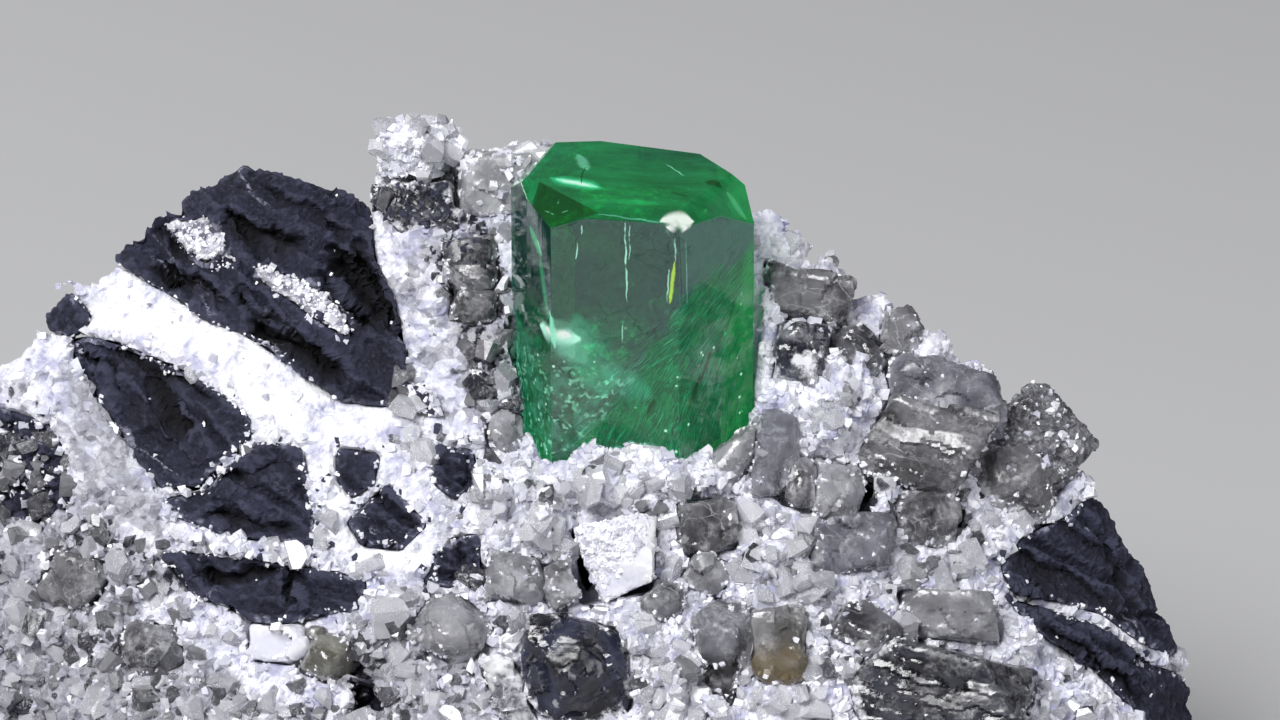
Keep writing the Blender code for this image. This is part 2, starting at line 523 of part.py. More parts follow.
def settle(obj):
    """Applies an object's modifiers and keeps its largest body, without slivers."""
    bpy.context.view_layer.update()
    evaluated = obj.evaluated_get(bpy.context.evaluated_depsgraph_get())
    mesh = bpy.data.meshes.new_from_object(evaluated)
    obj.modifiers.clear()
    bm = bmesh.new()
    bm.from_mesh(mesh)
    bmesh.ops.remove_doubles(bm, verts=bm.verts, dist=SLIVER * MM)
    bmesh.ops.dissolve_degenerate(bm, edges=bm.edges, dist=SLIVER * MM)
    keep_largest(bm)
    bmesh.ops.dissolve_limit(bm, angle_limit=FLAT_WITHIN, verts=bm.verts, edges=bm.edges)
    bmesh.ops.triangulate(bm, faces=bm.faces)
    bm.to_mesh(mesh)
    bm.free()
    mesh.name = obj.name
    obj.data = mesh
    return obj


def keep_largest(bm):
    """Deletes every body but the one with the longest diagonal."""
    left = set(bm.verts)
    bodies = []
    while left:
        stack = [left.pop()]
        body = set(stack)
        while stack:
            for edge in stack.pop().link_edges:
                for vert in edge.verts:
                    if vert not in body:
                        body.add(vert)
                        stack.append(vert)
        left -= body
        bodies.append(body)
    if len(bodies) < 2:
        return
    largest = max(bodies, key=diagonal)
    loose = [vert for body in bodies if body is not largest for vert in body]
    bmesh.ops.delete(bm, geom=loose, context="VERTS")


def diagonal(verts):
    return Vector([high - low for low, high in extent(vert.co for vert in verts)]).length


def extent(points):
    """The least and greatest coordinate of some points along each axis."""
    return [(min(along), max(along)) for along in zip(*points)]


def box_of(obj):
    return extent(obj.matrix_world @ vert.co for vert in obj.data.vertices)


def boxes_meet(first, second):
    return all(a[0] < b[1] and b[0] < a[1] for a, b in zip(box_of(first), box_of(second)))


def carve(obj, jackets):
    """Cuts out of an object the pockets of the pieces that were there before it."""
    for jacket in jackets:
        if boxes_meet(obj, jacket):
            add_boolean(obj, "DIFFERENCE", jacket)
    return settle(obj)


# ---------------------------------------------------------------- building the specimen

def crystal_centre(surface, spec):
    """Where a crystal's middle lies: under the rock's surface by its sunk share, or at the ridge."""
    hit = surface.ray_cast(face_point(spec.across, spec.up, -BEYOND), FACE_IN)[0]
    if hit is None:
        hit = surface.find_nearest(face_point(spec.across, spec.up, 9.0))[0]
        depth = (hit - FACE_ORIGIN).dot(FACE_IN)
        hit = face_point(spec.across, spec.up, depth - spec.depth / 4)
    return hit + FACE_IN * (spec.sink - 0.25) * spec.depth


def grain_bmesh(centre, reach, dice):
    """A small faceted crystal, turned at random."""
    half = Vector((reach * dice.uniform(0.8, 1.2), reach, reach * dice.uniform(0.7, 1.1)))
    form = dice.choice(("grain", "rhomb", "block"))
    planes = crystal_planes(form, half, dice.randrange(10000), GRAIN_FACETS)
    bm = block_bmesh(planes, max(half) * 1.5)
    turn = Matrix.Rotation(dice.uniform(0, math.tau), 4, "Z") @ Matrix.Rotation(dice.uniform(-0.6, 0.6), 4, "X")
    bmesh.ops.transform(bm, matrix=Matrix.Translation(centre) @ turn, verts=bm.verts)
    return bm


def scatter_grains(surface, collection):
    """Small crystals over the rock, each half sunk in it. They are fused to the white rock afterwards."""
    dice = random.Random(7)
    made = 0
    for patches, behind in ((FRONT_PATCHES, False), (BACK_PATCHES, True)):
        for patch in patches:
            for _ in range(patch.count):
                across, up = dice.uniform(patch.left, patch.right), dice.uniform(patch.low, patch.high)
                reach = dice.uniform(patch.least, patch.most)
                start = face_point(across, up, BEYOND if behind else -BEYOND)
                heading = -FACE_IN if behind else FACE_IN
                hit = surface.ray_cast(start, heading)[0]
                if hit is None or hit.z < reach + LEAST_REST or in_shale(across, up, reach):
                    continue
                if above_ridge(across, up, reach) if behind else on_crystal(across, up, reach):
                    continue
                sunk = BACK_SUNK if behind else FRONT_SUNK
                bm = grain_bmesh(hit + heading * reach * sunk, reach, dice)
                as_cutter(object_from(bm, f"grain_{made:03d}", collection))
                made += 1
    for across, up, reach in SKY_GRAINS:
        near = surface.find_nearest(face_point(across, up, 10.0))[0]
        depth = (near - FACE_ORIGIN).dot(FACE_IN)
        bm = grain_bmesh(face_point(across, up - 0.6, depth), reach, dice)
        as_cutter(object_from(bm, f"grain_{made:03d}", collection))
        made += 1


def above_ridge(across, up, reach):
    """True where something of this reach would show over the skyline."""
    return up + 1.2 * reach > min(in_row(SKYLINE, across + side, 1) for side in (-reach, 0, reach))


def on_crystal(across, up, margin):
    """True where one of the single crystals, with part of a margin, covers a place in the face plane."""
    grown = margin * CLEAR_OF_CRYSTALS
    return any(abs(across - spec.across) < spec.width / 2 + grown and abs(up - spec.up) < spec.height / 2 + grown
               for spec in CRYSTALS)


def in_shale(across, up, margin):
    """True where a shale outline, with a margin, covers a place in the face plane."""
    return any(inside(slab.outline, across + dx, up + dy) for slab in SHALE
               for dx, dy in ((0, 0), (margin, 0), (-margin, 0), (0, margin), (0, -margin)))


def inside(outline, x, y):
    """Whether a point lies within a closed outline, by counting the sides to its right."""
    found = False
    for (x0, y0), (x1, y1) in zip(outline, outline[1:] + outline[:1]):
        if (y0 > y) != (y1 > y) and x < (x1 - x0) * (y - y0) / (y1 - y0) + x0:
            found = not found
    return found


def centre_on_origin(pieces):
    """Moves every piece so that the whole stands on z = 0 with the middle of its box over the origin."""
    boxes = [box_of(piece) for piece in pieces]
    low, high = ([pick(box[axis][end] for box in boxes) for axis in range(3)]
                 for end, pick in enumerate((min, max)))
    shift = Matrix.Translation((-(low[0] + high[0]) / 2, -(low[1] + high[1]) / 2, -low[2]))
    for piece in pieces:
        piece.matrix_world = shift @ piece.matrix_world


def make_slabs(slabs, shell_name, relief, jackets, collection, cutters, material):
    """Pieces that fill an outline from front to back, shaped outside by their own rough shell."""
    pieces, pockets = [], []
    shells = {}
    for slab in slabs:
        if slab.proud not in shells:
            shell = rock_shell(f"{shell_name}_{slab.proud}", relief, slab.proud, cutters)
            shells[slab.proud] = as_cutter(shell)
        piece = outline_prism(slab.name, slab.outline, 0.0, collection)
        piece.data.materials.append(material)
        pocket = as_cutter(outline_prism(slab.name + "_pocket", slab.outline, GAP, cutters))
        add_boolean(piece, "INTERSECT", shells[slab.proud])
        pieces.append(carve(piece, jackets + pockets))
        pockets.append(pocket)
    return pieces, pockets


def main():
    clear_scene()
    specimen = make_collection("emerald_in_matrix")
    cutters = make_collection("cutters")
    grains = make_collection("grains")
    materials = make_materials()
    rock = rock_shell("calcite_matrix", lumps, 0.0, specimen)
    rock.data.materials.append(materials["white"])
    surface = surface_of(rock)

    emerald, emerald_pocket = make_emerald(specimen, cutters, materials["emerald"])
    window = as_cutter(outline_prism("emerald_window", EMERALD_WINDOW, 0.0, cutters, WINDOW_BACK))
    pieces, jackets = [emerald], [emerald_pocket, window]
    for spec in CRYSTALS:
        centre = crystal_centre(surface, spec)
        crystal, jacket = make_crystal(spec, centre, specimen, cutters, materials[spec.finish])
        pieces.append(carve(crystal, jackets))
        jackets.append(jacket)

    seams, seam_pockets = make_slabs(SEAMS, "seam_shell", ledges, jackets, specimen, cutters,
                                     materials["white"])
    slabs, slab_pockets = make_slabs(SHALE, "shale_shell", ledges, jackets + seam_pockets, specimen, cutters,
                                     materials["shale"])
    pieces += seams + slabs
    jackets += seam_pockets + slab_pockets

    scatter_grains(surface, grains)
    add_boolean(rock, "UNION", grains)
    settle(rock)
    carve(rock, jackets)
    pieces.append(rock)
    centre_on_origin(pieces)


main()
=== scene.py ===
"""An emerald crystal in a rock of white calcite, black shale and grey calcite crystals, dressed and lit.

Lengths are in millimetres where a name says so and in metres in every mesh. The rock's front is laid out in
a leaning plane, the face plane: across to the right, up along the plane, and inward away from the viewer.
"""

import json
import logging
import math
import random
from collections.abc import Iterator, Sequence
from contextlib import contextmanager
from dataclasses import dataclass
from enum import Enum
from typing import ClassVar

import bpy
import numpy as np
from mathutils import Matrix, Vector, noise
from mathutils.bvhtree import BVHTree


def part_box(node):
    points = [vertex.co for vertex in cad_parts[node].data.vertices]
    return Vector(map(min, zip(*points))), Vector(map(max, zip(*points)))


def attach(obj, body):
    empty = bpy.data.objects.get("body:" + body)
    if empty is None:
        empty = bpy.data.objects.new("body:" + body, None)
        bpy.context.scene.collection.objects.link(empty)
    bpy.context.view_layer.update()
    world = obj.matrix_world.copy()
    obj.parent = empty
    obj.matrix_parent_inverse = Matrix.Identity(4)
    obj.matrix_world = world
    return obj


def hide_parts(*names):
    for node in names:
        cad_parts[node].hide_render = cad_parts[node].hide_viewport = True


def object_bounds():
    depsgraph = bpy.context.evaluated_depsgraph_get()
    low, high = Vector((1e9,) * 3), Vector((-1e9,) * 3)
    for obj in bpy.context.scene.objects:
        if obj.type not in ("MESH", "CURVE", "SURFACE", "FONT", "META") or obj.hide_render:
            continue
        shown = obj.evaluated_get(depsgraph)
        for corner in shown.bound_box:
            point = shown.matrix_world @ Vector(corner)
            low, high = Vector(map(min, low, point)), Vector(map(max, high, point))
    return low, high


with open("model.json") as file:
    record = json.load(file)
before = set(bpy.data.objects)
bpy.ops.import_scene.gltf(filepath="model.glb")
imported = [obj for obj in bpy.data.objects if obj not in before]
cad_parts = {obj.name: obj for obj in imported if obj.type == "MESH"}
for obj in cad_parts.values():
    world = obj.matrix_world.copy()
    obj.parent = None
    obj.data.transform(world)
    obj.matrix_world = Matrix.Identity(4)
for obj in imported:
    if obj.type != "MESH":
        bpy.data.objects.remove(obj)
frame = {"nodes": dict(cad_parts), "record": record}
CAD_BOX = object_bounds()

MM = 0.001
BODY = "root"
MERGE_WITHIN = 1e-6
LOG = logging.getLogger("emerald_in_matrix")

GRAIN_KINDS = ("sugar_grains", "glassy_grains", "smoky_grains", "shale_chips", "crust")

Outline = tuple[tuple[float, float], ...]
Colour = tuple[float, float, float]
Socket = bpy.types.NodeSocket


# ------------------------------------------------------------------------------------------ the face plane

@dataclass(frozen=True)
class FacePlane:
    """The plane that the rock's front is laid out in. Its places are across, up and inward in millimetres."""

    origin: Vector
    lean: float = math.radians(14)

    @classmethod
    def beside(cls, node: str) -> "FacePlane":
        """Finds the plane from the emerald's box, which it keeps a fixed distance from.

        Args:
            node: the emerald's node.
        Returns:
            The face plane in the row frame.
        """
        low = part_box(node)[0]
        return cls(low + Vector((7.987, 2.444, 9.787)) * MM)

    def place(self, across: float, up: float, inward: float = 0.0) -> Vector:
        """Turns a place in the plane into a point in metres."""
        cos, sin = math.cos(self.lean), math.sin(self.lean)
        return self.origin + Vector((across, up * sin + inward * cos, up * cos - inward * sin)) * MM

    def places(self, points: np.ndarray) -> np.ndarray:
        """Turns points in metres into places in the plane.

        Args:
            points: one row for each point.
        Returns:
            One row of across, up and inward for each point, in millimetres.
        """
        cos, sin = math.cos(self.lean), math.sin(self.lean)
        x, y, z = ((points - np.array(self.origin)) / MM).T
        return np.stack([x, y * sin + z * cos, y * cos - z * sin], axis=1)


FACE = FacePlane.beside("emerald_crystal")
CAMERA_DISTANCE = 426.7


def px(*pairs: tuple[float, float]) -> Outline:
    """Turns places on a 1280 by 720 sheet laid over the face plane into millimetres across and up."""
    return tuple(((x - 640) * 0.06, (360 - y) * 0.06) for x, y in pairs)


@dataclass(frozen=True)
class PrismAxes:
    """The emerald's own axes in millimetres: x across, y inward, z up. It is turned a little and leans out."""

    foot: Vector
    lean: float = math.radians(12)
    turn: float = math.radians(-9)

    @classmethod
    def inside(cls, node: str) -> "PrismAxes":
        """Finds the axes from the emerald's box.

        Args:
            node: the emerald's node.
        Returns:
            The axes in the row frame.
        """
        return cls(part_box(node)[0] + Vector((7.437, 9.144, 4.187)) * MM)

    def matrix(self) -> Matrix:
        """The turn from the emerald's own millimetres to the row frame's metres."""
        turned = Matrix.Rotation(self.lean, 4, "X") @ Matrix.Rotation(self.turn, 4, "Z")
        return Matrix.Translation(self.foot) @ turned @ Matrix.Scale(MM, 4)

    def side(self, azimuth: float, distance: float, depth: float = 0.0) -> Matrix:
        """A side's own sheet: x along it, y up it and z out of it, in millimetres.

        Args:
            azimuth: degrees that the side faces, where -90 is the front.
            distance: millimetres from the axis to the side.
            depth: millimetres that the sheet lies inside the side.
        Returns:
            The matrix that stands a flat sheet there, in metres.
        """
        angle = math.radians(azimuth)
        out = Vector((math.cos(angle), math.sin(angle), 0))
        along, up = Vector((-out.y, out.x, 0)), Vector((0, 0, 1))
        axes = Matrix((along, up, out)).transposed().to_4x4()
        return self.matrix() @ Matrix.Translation(out * (distance - depth)) @ axes

    def surface_spot(self, x: float, y: float) -> Vector:
        """Finds where the sheet's place falls on the emerald's own planes, seen from the camera.

        Args:
            x: across the 1280 by 720 sheet.
            y: down it.
        Returns:
            The point, in the row frame's millimetres.
        """
        eye = FACE.place(0, 0, -CAMERA_DISTANCE)
        back = self.matrix().inverted()
        start, spot = back @ eye, back @ FACE.place(*px((x, y))[0])
        ray = (spot - start).normalized()
        enters = max((cut.distance - cut.normal.dot(start)) / cut.normal.dot(ray) for cut in PRISM_CUTS
                     if cut.normal.dot(ray) < -1e-6)
        return (self.matrix() @ (start + ray * enters)) / MM

    def own_axes(self, graph: "Graph", place: Socket) -> Socket:
        """Turns a pattern's coordinates in millimetres into the emerald's own."""
        leaned = graph.turned(place, (math.degrees(self.lean), 0, 0), shift=tuple(self.foot / MM))
        return graph.turned(leaned, (0, 0, math.degrees(self.turn)))


@dataclass(frozen=True)
class PrismCut:
    """One flat face of the emerald: the way that it faces in the emerald's own axes, and its distance."""

    normal: Vector
    distance: float

    @classmethod
    def side(cls, azimuth: float, distance: float) -> "PrismCut":
        """An upright side that faces an azimuth in degrees, where -90 is the front."""
        return cls(Vector((math.cos(math.radians(azimuth)), math.sin(math.radians(azimuth)), 0)), distance)

    @classmethod
    def through(cls, normal: tuple[float, float, float], point: tuple[float, float, float]) -> "PrismCut":
        """A facet that faces one way and holds a point."""
        out = Vector(normal).normalized()
        return cls(out, out.dot(Vector(point)))


PRISM = PrismAxes.inside("emerald_crystal")
PRISM_CUTS = (
    PrismCut.side(-90, 5.50), PrismCut.side(-30, 6.03), PrismCut.side(30, 6.80), PrismCut.side(90, 5.95),
    PrismCut.side(150, 7.10), PrismCut.side(203, 6.50), PrismCut.side(215, 6.40),
    PrismCut.through((0, 0, 1), (0, 0, 16.5)), PrismCut.through((0, 0, -1), (0, 0, -3.0)),
    # the crown: left, dark front-left corner, front, right-front, right corner, then the three behind
    PrismCut.through((-0.702, 0.116, 0.703), (-6.3, -1.8, 16.5)),
    PrismCut.through((-0.318, -0.375, 0.871), (-5.58, -1.5, 16.5)),
    PrismCut.through((0.0, -0.28, 0.96), (0.0, -4.3, 16.5)),
    PrismCut.through((0.655, -0.265, 0.707), (4.305, -4.6, 15.7)),
    PrismCut.through((0.851, -0.205, 0.483), (5.9, 1.4, 16.5)),
    PrismCut.through((0.527, 0.472, 0.707), (5.9, 1.4, 16.5)),
    PrismCut.through((0.118, 0.791, 0.6), (3.6, 3.97, 16.5)),
    PrismCut.through((-0.162, 0.688, 0.707), (-5.2, 4.3, 16.5)),
)
# a small facet at the front right corner of the crown; the white on it is a painted reflection, drawn by two white
# strokes in the emerald's finish
BRIGHT_CORNER = PrismCut.through((0.3535, -0.6124, 0.7071), (3.79, -5.5, 15.75))


def share_inside(places: np.ndarray, outline: Outline, feather: float) -> np.ndarray:
    """How far within a closed outline each place lies, as a share that fades over a soft edge.

    Args:
        places: rows whose first two numbers are across and up.
        outline: the corners, in order.
        feather: width of the soft edge in millimetres, half of it outside.
    Returns:
        Shares from 0 outside to 1 inside.
    """
    x, y = places[:, 0], places[:, 1]
    within = np.zeros(len(x), bool)
    nearest = np.full(len(x), 1e9)
    for (x0, y0), (x1, y1) in zip(outline, outline[1:] + outline[:1]):
        crosses = (y0 > y) != (y1 > y)
        rise = (y1 - y0) if y1 != y0 else 1e-9
        within ^= crosses & (x < (x1 - x0) * (y - y0) / rise + x0)
        dx, dy = x1 - x0, y1 - y0
        along = np.clip(((x - x0) * dx + (y - y0) * dy) / max(dx * dx + dy * dy, 1e-9), 0, 1)
        nearest = np.minimum(nearest, np.hypot(x - x0 - along * dx, y - y0 - along * dy))
    signed = np.where(within, nearest, -nearest)
    return np.clip(signed / feather + 0.5, 0, 1)


# ------------------------------------------------------------------------------------------ node trees

class Graph:
    """A node tree being wired. Most methods add one node and give back its output socket."""

    def __init__(self, tree: bpy.types.NodeTree) -> None:
        """Keeps the tree."""
        self.tree = tree

    def node(self, kind: str, inputs: dict | None = None, **settings: object) -> bpy.types.Node:
        """Adds a node.

        Args:
            kind: Blender's name for the node.
            inputs: a value or a socket for each input, by name or number.
            settings: the node's own properties.
        Returns:
            The node.
        """
        made = self.tree.nodes.new(kind)
        for name, value in settings.items():
            setattr(made, name, value)
        for key, value in (inputs or {}).items():
            self.feed(made.inputs[key], value)
        return made

    def feed(self, socket: Socket, value: object) -> None:
        """Links a socket to an input, or sets the input's own value."""
        if isinstance(value, bpy.types.NodeSocket):
            self.tree.links.new(value, socket)
        else:
            socket.default_value = value

    def math(self, operation: str, *values: object, clamp: bool = False) -> Socket:
        """Adds one sum on numbers."""
        return self.node("ShaderNodeMath", dict(enumerate(values)), operation=operation, use_clamp=clamp).outputs[0]

    def vector(self, operation: str, *values: object) -> Socket:
        """Adds one sum on vectors."""
        made = self.node("ShaderNodeVectorMath", dict(enumerate(values)), operation=operation)
        return made.outputs["Value" if operation in ("DOT_PRODUCT", "LENGTH", "DISTANCE") else "Vector"]

    def scaled(self, vector: Socket, factor: object) -> Socket:
        """Multiplies a vector by a number."""
        made = self.node("ShaderNodeVectorMath", {0: vector, "Scale": factor}, operation="SCALE")
        return made.outputs["Vector"]

    def mixed(self, share: object, first: object, second: object, blend: str = "MIX") -> Socket:
        """Mixes two colours."""
        first, second = ((*c, 1.0) if isinstance(c, tuple) and len(c) == 3 else c for c in (first, second))
        made = self.node("ShaderNodeMix", {0: share, 6: first, 7: second}, data_type="RGBA", blend_type=blend)
        return made.outputs[2]

    def between(self, share: object, first: object, second: object) -> Socket:
        """Mixes two numbers."""
        return self.node("ShaderNodeMix", {0: share, 2: first, 3: second}, data_type="FLOAT").outputs[0]

    def step(self, value: object, low: object, high: object) -> Socket:
        """A soft step: 0 below the low value, 1 above the high one."""
        inputs = {"Value": value, "From Min": low, "From Max": high}
        return self.node("ShaderNodeMapRange", inputs, interpolation_type="SMOOTHSTEP").outputs[0]

    def noise(self, vector: Socket, width: float, detail: float = 2.0, rough: float = 0.5,
              warp: float = 0.0) -> Socket:
        """Fractal noise from 0 to 1 whose broadest waves are this wide."""
        inputs = {"Vector": vector, "Scale": 1 / width, "Detail": detail, "Roughness": rough, "Distortion": warp}
        return self.node("ShaderNodeTexNoise", inputs).outputs[0]

    def cells(self, vector: Socket, width: object, feature: str = "F1") -> bpy.types.Node:
        """Voronoi cells of this width."""
        scale = self.math("DIVIDE", 1.0, width) if isinstance(width, bpy.types.NodeSocket) else 1 / width
        return self.node("ShaderNodeTexVoronoi", {"Vector": vector, "Scale": scale}, feature=feature)

    def parts(self, vector: Socket) -> tuple[Socket, Socket, Socket]:
        """Splits a vector or a colour in three."""
        made = self.node("ShaderNodeSeparateXYZ", {0: vector})
        return made.outputs[0], made.outputs[1], made.outputs[2]

    def turned(self, vector: Socket, turn: Sequence[float] = (0, 0, 0), stretch: Sequence[float] = (1, 1, 1),
               shift: Sequence[float] = (0, 0, 0)) -> Socket:
        """Turns, stretches and shifts a pattern, so that stretch 4 makes it four times as long.

        Args:
            vector: the coordinates.
            turn: degrees about each axis.
            stretch: how long the pattern is along each turned axis.
            shift: a shift in millimetres before the turn.
        Returns:
            The new coordinates.
        """
        moved = self.vector("SUBTRACT", vector, tuple(shift))
        spun = self.node("ShaderNodeVectorRotate", {"Vector": moved,
                                                    "Rotation": tuple(math.radians(-a) for a in turn)},
                         rotation_type="EULER_XYZ", invert=False).outputs[0]
        return self.vector("DIVIDE", spun, tuple(stretch))


def shader_group(name: str, takes: Sequence[tuple[str, str]], gives: Sequence[tuple[str, str]]
                 ) -> tuple[bpy.types.NodeTree, bool]:
    """Finds or starts a shader node group.

    Args:
        name: the group's name.
        takes: each input's name and kind.
        gives: each output's name and kind.
    Returns:
        The group, and whether it is new and so has to be wired.
    """
    if name in bpy.data.node_groups:
        return bpy.data.node_groups[name], False
    group = bpy.data.node_groups.new(name, "ShaderNodeTree")
    for label, kind in takes:
        group.interface.new_socket(name=label, in_out="INPUT", socket_type=f"NodeSocket{kind}")
    for label, kind in gives:
        group.interface.new_socket(name=label, in_out="OUTPUT", socket_type=f"NodeSocket{kind}")
    return group, True


class Effects:
    """Patterns that several finishes share, each a node group that is wired once."""

    @staticmethod
    def place(graph: Graph, group: bpy.types.NodeTree, inputs: dict) -> bpy.types.Node:
        """Places a group in a material with its own values."""
        made = graph.tree.nodes.new("ShaderNodeGroup")
        made.node_tree = group
        for key, value in inputs.items():
            graph.feed(made.inputs[key], value)
        return made

    @classmethod
    def sugar(cls, graph: Graph, vector: Socket, size: float) -> bpy.types.Node:
        """Crystalline grain: tilted facets, one random number for each grain, and the seams between grains.

        Args:
            graph: the material's tree.
            vector: coordinates in millimetres.
            size: width of one grain.
        Returns:
            A node with outputs Height, Random, Other and Seam.
        """
        group, fresh = shader_group(
            "sugar_grain", (("Vector", "Vector"), ("Size", "Float")),
            (("Height", "Float"), ("Random", "Float"), ("Other", "Float"), ("Seam", "Float")))
        if fresh:
            inner = Graph(group)
            given = inner.node("NodeGroupInput")
            wobble = inner.vector("SUBTRACT", inner.node(
                "ShaderNodeTexNoise", {"Vector": given.outputs[0], "Scale": 2.5, "Detail": 1.0}).outputs["Color"],
                (0.5, 0.5, 0.5))
            warped = inner.vector("ADD", given.outputs[0], inner.scaled(wobble, 0.25))
            cell = inner.cells(warped, given.outputs["Size"])
            tilt = inner.vector("SUBTRACT", cell.outputs["Color"], (0.5, 0.5, 0.5))
            offset = inner.scaled(inner.vector("SUBTRACT", warped, cell.outputs["Position"]),
                                  inner.math("DIVIDE", 2.0, given.outputs["Size"]))
            slope = inner.vector("DOT_PRODUCT", offset, tilt)
            red, green, blue = inner.parts(cell.outputs["Color"])
            height = inner.math("ADD", slope, inner.math("MULTIPLY", blue, 0.5))
            edge = inner.cells(warped, given.outputs["Size"], "DISTANCE_TO_EDGE").outputs["Distance"]
            seam = inner.math("SUBTRACT", 1.0, inner.step(edge, 0.0, 0.12))
            inner.node("NodeGroupOutput", {"Height": height, "Random": red, "Other": green, "Seam": seam})
        return cls.place(graph, group, {"Vector": vector, "Size": size})

    @classmethod
    def cloud(cls, graph: Graph, vector: Socket, width: float, low: float, high: float,
              detail: float = 3.0) -> Socket:
        """Cloudy patches: noise raised to a clear contrast.

        Args:
            graph: the material's tree.
            vector: coordinates in millimetres.
            width: width of the broadest patch.
            low: noise value that becomes 0.
            high: noise value that becomes 1.
            detail: octaves of finer noise.
        Returns:
            The mask.
        """
        group, fresh = shader_group(
            "cloudy_patches", (("Vector", "Vector"), ("Width", "Float"), ("Low", "Float"), ("High", "Float"),
                               ("Detail", "Float")), (("Mask", "Float"),))
        if fresh:
            inner = Graph(group)
            given = inner.node("NodeGroupInput")
            scale = inner.math("DIVIDE", 1.0, given.outputs["Width"])
            waves = inner.node("ShaderNodeTexNoise", {
                "Vector": given.outputs["Vector"], "Scale": scale, "Detail": given.outputs["Detail"],
                "Roughness": 0.6}).outputs[0]
            inner.node("NodeGroupOutput", {"Mask": inner.step(waves, given.outputs["Low"], given.outputs["High"])})
        inputs = {"Vector": vector, "Width": width, "Low": low, "High": high, "Detail": detail}
        return cls.place(graph, group, inputs).outputs[0]

    @classmethod
    def streaks(cls, graph: Graph, vector: Socket, spacing: float, thin: float, patchy: float = 0.5) -> Socket:
        """Thin wandering lines, broken into patches, as healed cracks and cleavage traces are.

        Args:
            graph: the material's tree.
            vector: coordinates in millimetres, stretched along the lines if they run one way.
            spacing: distance between lines.
            thin: half width of a line as a share of the spacing.
            patchy: noise value under which the lines fade out.
        Returns:
            The mask.
        """
        group, fresh = shader_group(
            "crack_streaks", (("Vector", "Vector"), ("Spacing", "Float"), ("Thin", "Float"), ("Patchy", "Float")),
            (("Mask", "Float"),))
        if fresh:
            inner = Graph(group)
            given = inner.node("NodeGroupInput")
            wander = inner.node("ShaderNodeTexNoise", {"Vector": given.outputs[0], "Scale": 0.9, "Detail": 3.0})
            swung = inner.vector("ADD", given.outputs[0], inner.scaled(
                inner.vector("SUBTRACT", wander.outputs["Color"], (0.5, 0.5, 0.5)), 1.3))
            edge = inner.cells(swung, given.outputs["Spacing"], "DISTANCE_TO_EDGE").outputs["Distance"]
            line = inner.math("SUBTRACT", 1.0, inner.step(edge, 0.0, given.outputs["Thin"]))
            fade = inner.node("ShaderNodeTexNoise", {"Vector": given.outputs[0], "Scale": 0.45, "Detail": 2.0})
            high = inner.math("ADD", given.outputs["Patchy"], 0.12)
            shown = inner.step(fade.outputs[0], given.outputs["Patchy"], high)
            inner.node("NodeGroupOutput", {"Mask": inner.math("MULTIPLY", line, shown)})
        inputs = {"Vector": vector, "Spacing": spacing, "Thin": thin, "Patchy": patchy}
        return cls.place(graph, group, inputs).outputs[0]


    @classmethod
    def stroke(cls, graph: Graph, vector: Socket, start: Vector, end: Vector, width: float) -> Socket:
        """A soft stroke between two points.

        Args:
            graph: the material's tree.
            vector: coordinates in millimetres.
            start: one end.
            end: the other end.
            width: the stroke's full width.
        Returns:
            The mask, 1 along the middle of the stroke.
        """
        group, fresh = shader_group(
            "soft_stroke", (("Vector", "Vector"), ("Start", "Vector"), ("Run", "Vector"), ("Width", "Float")),
            (("Mask", "Float"),))
        if fresh:
            inner = Graph(group)
            given = inner.node("NodeGroupInput")
            away = inner.vector("SUBTRACT", given.outputs["Vector"], given.outputs["Start"])
            run = given.outputs["Run"]
            along = inner.math("DIVIDE", inner.vector("DOT_PRODUCT", away, run),
                               inner.vector("DOT_PRODUCT", run, run), clamp=True)
            gap = inner.vector("LENGTH", inner.vector("SUBTRACT", away, inner.scaled(run, along)))
            taper = inner.math("SUBTRACT", 1.0, inner.math("POWER", inner.math("ABSOLUTE", inner.math(
                "SUBTRACT", inner.math("MULTIPLY", along, 2.0), 1.0)), 3.0))
            half = inner.math("MULTIPLY", given.outputs["Width"], inner.math("ADD", 0.12, inner.math(
                "MULTIPLY", taper, 0.38)))
            inner.node("NodeGroupOutput", {"Mask": inner.step(gap, half, inner.math("MULTIPLY", half, 0.3))})
        inputs = {"Vector": vector, "Start": tuple(start), "Run": tuple(end - start), "Width": width}
        return cls.place(graph, group, inputs).outputs[0]


# ------------------------------------------------------------------------------------------ finishes

@dataclass(frozen=True)
class Finish:
    """The look of one kind of stone. A subclass paints it."""

    name: str
    made: ClassVar[dict[str, bpy.types.Material]] = {}

    def material(self) -> bpy.types.Material:
        """Finds the finish's material, or makes it.

        Returns:
            The material.
        """
        if self.name in self.made:
            return self.made[self.name]
        made = self.made[self.name] = bpy.data.materials.new(self.name + "_finish")
        made.use_nodes = True
        graph = Graph(made.node_tree)
        shader = made.node_tree.nodes["Principled BSDF"]
        coords = graph.node("ShaderNodeTexCoord").outputs["Object"]
        self.paint(graph, shader, graph.scaled(coords, 1 / MM))
        made.cycles.emission_sampling = "NONE"  # a faint glow isn't worth treating as a lamp
        return made

    def paint(self, graph: Graph, shader: bpy.types.Node, place: Socket) -> None:
        """Wires the finish's own nodes. A subclass does this."""
        raise NotImplementedError

    @staticmethod
    def bump(graph: Graph, shader: bpy.types.Node, height: Socket, rise: float, strength: float = 1.0) -> None:
        """Feeds a height in units of rise, in millimetres, to the shader as a bump."""
        made = graph.node("ShaderNodeBump", {"Height": height, "Distance": rise * MM, "Strength": strength})
        graph.feed(shader.inputs["Normal"], made.outputs[0])

    @staticmethod
    def tone(graph: Graph, name: str) -> tuple[Socket, Socket, Socket]:
        """Reads a painted attribute's three shares."""
        return graph.parts(graph.node("ShaderNodeAttribute", attribute_name=name).outputs["Color"])


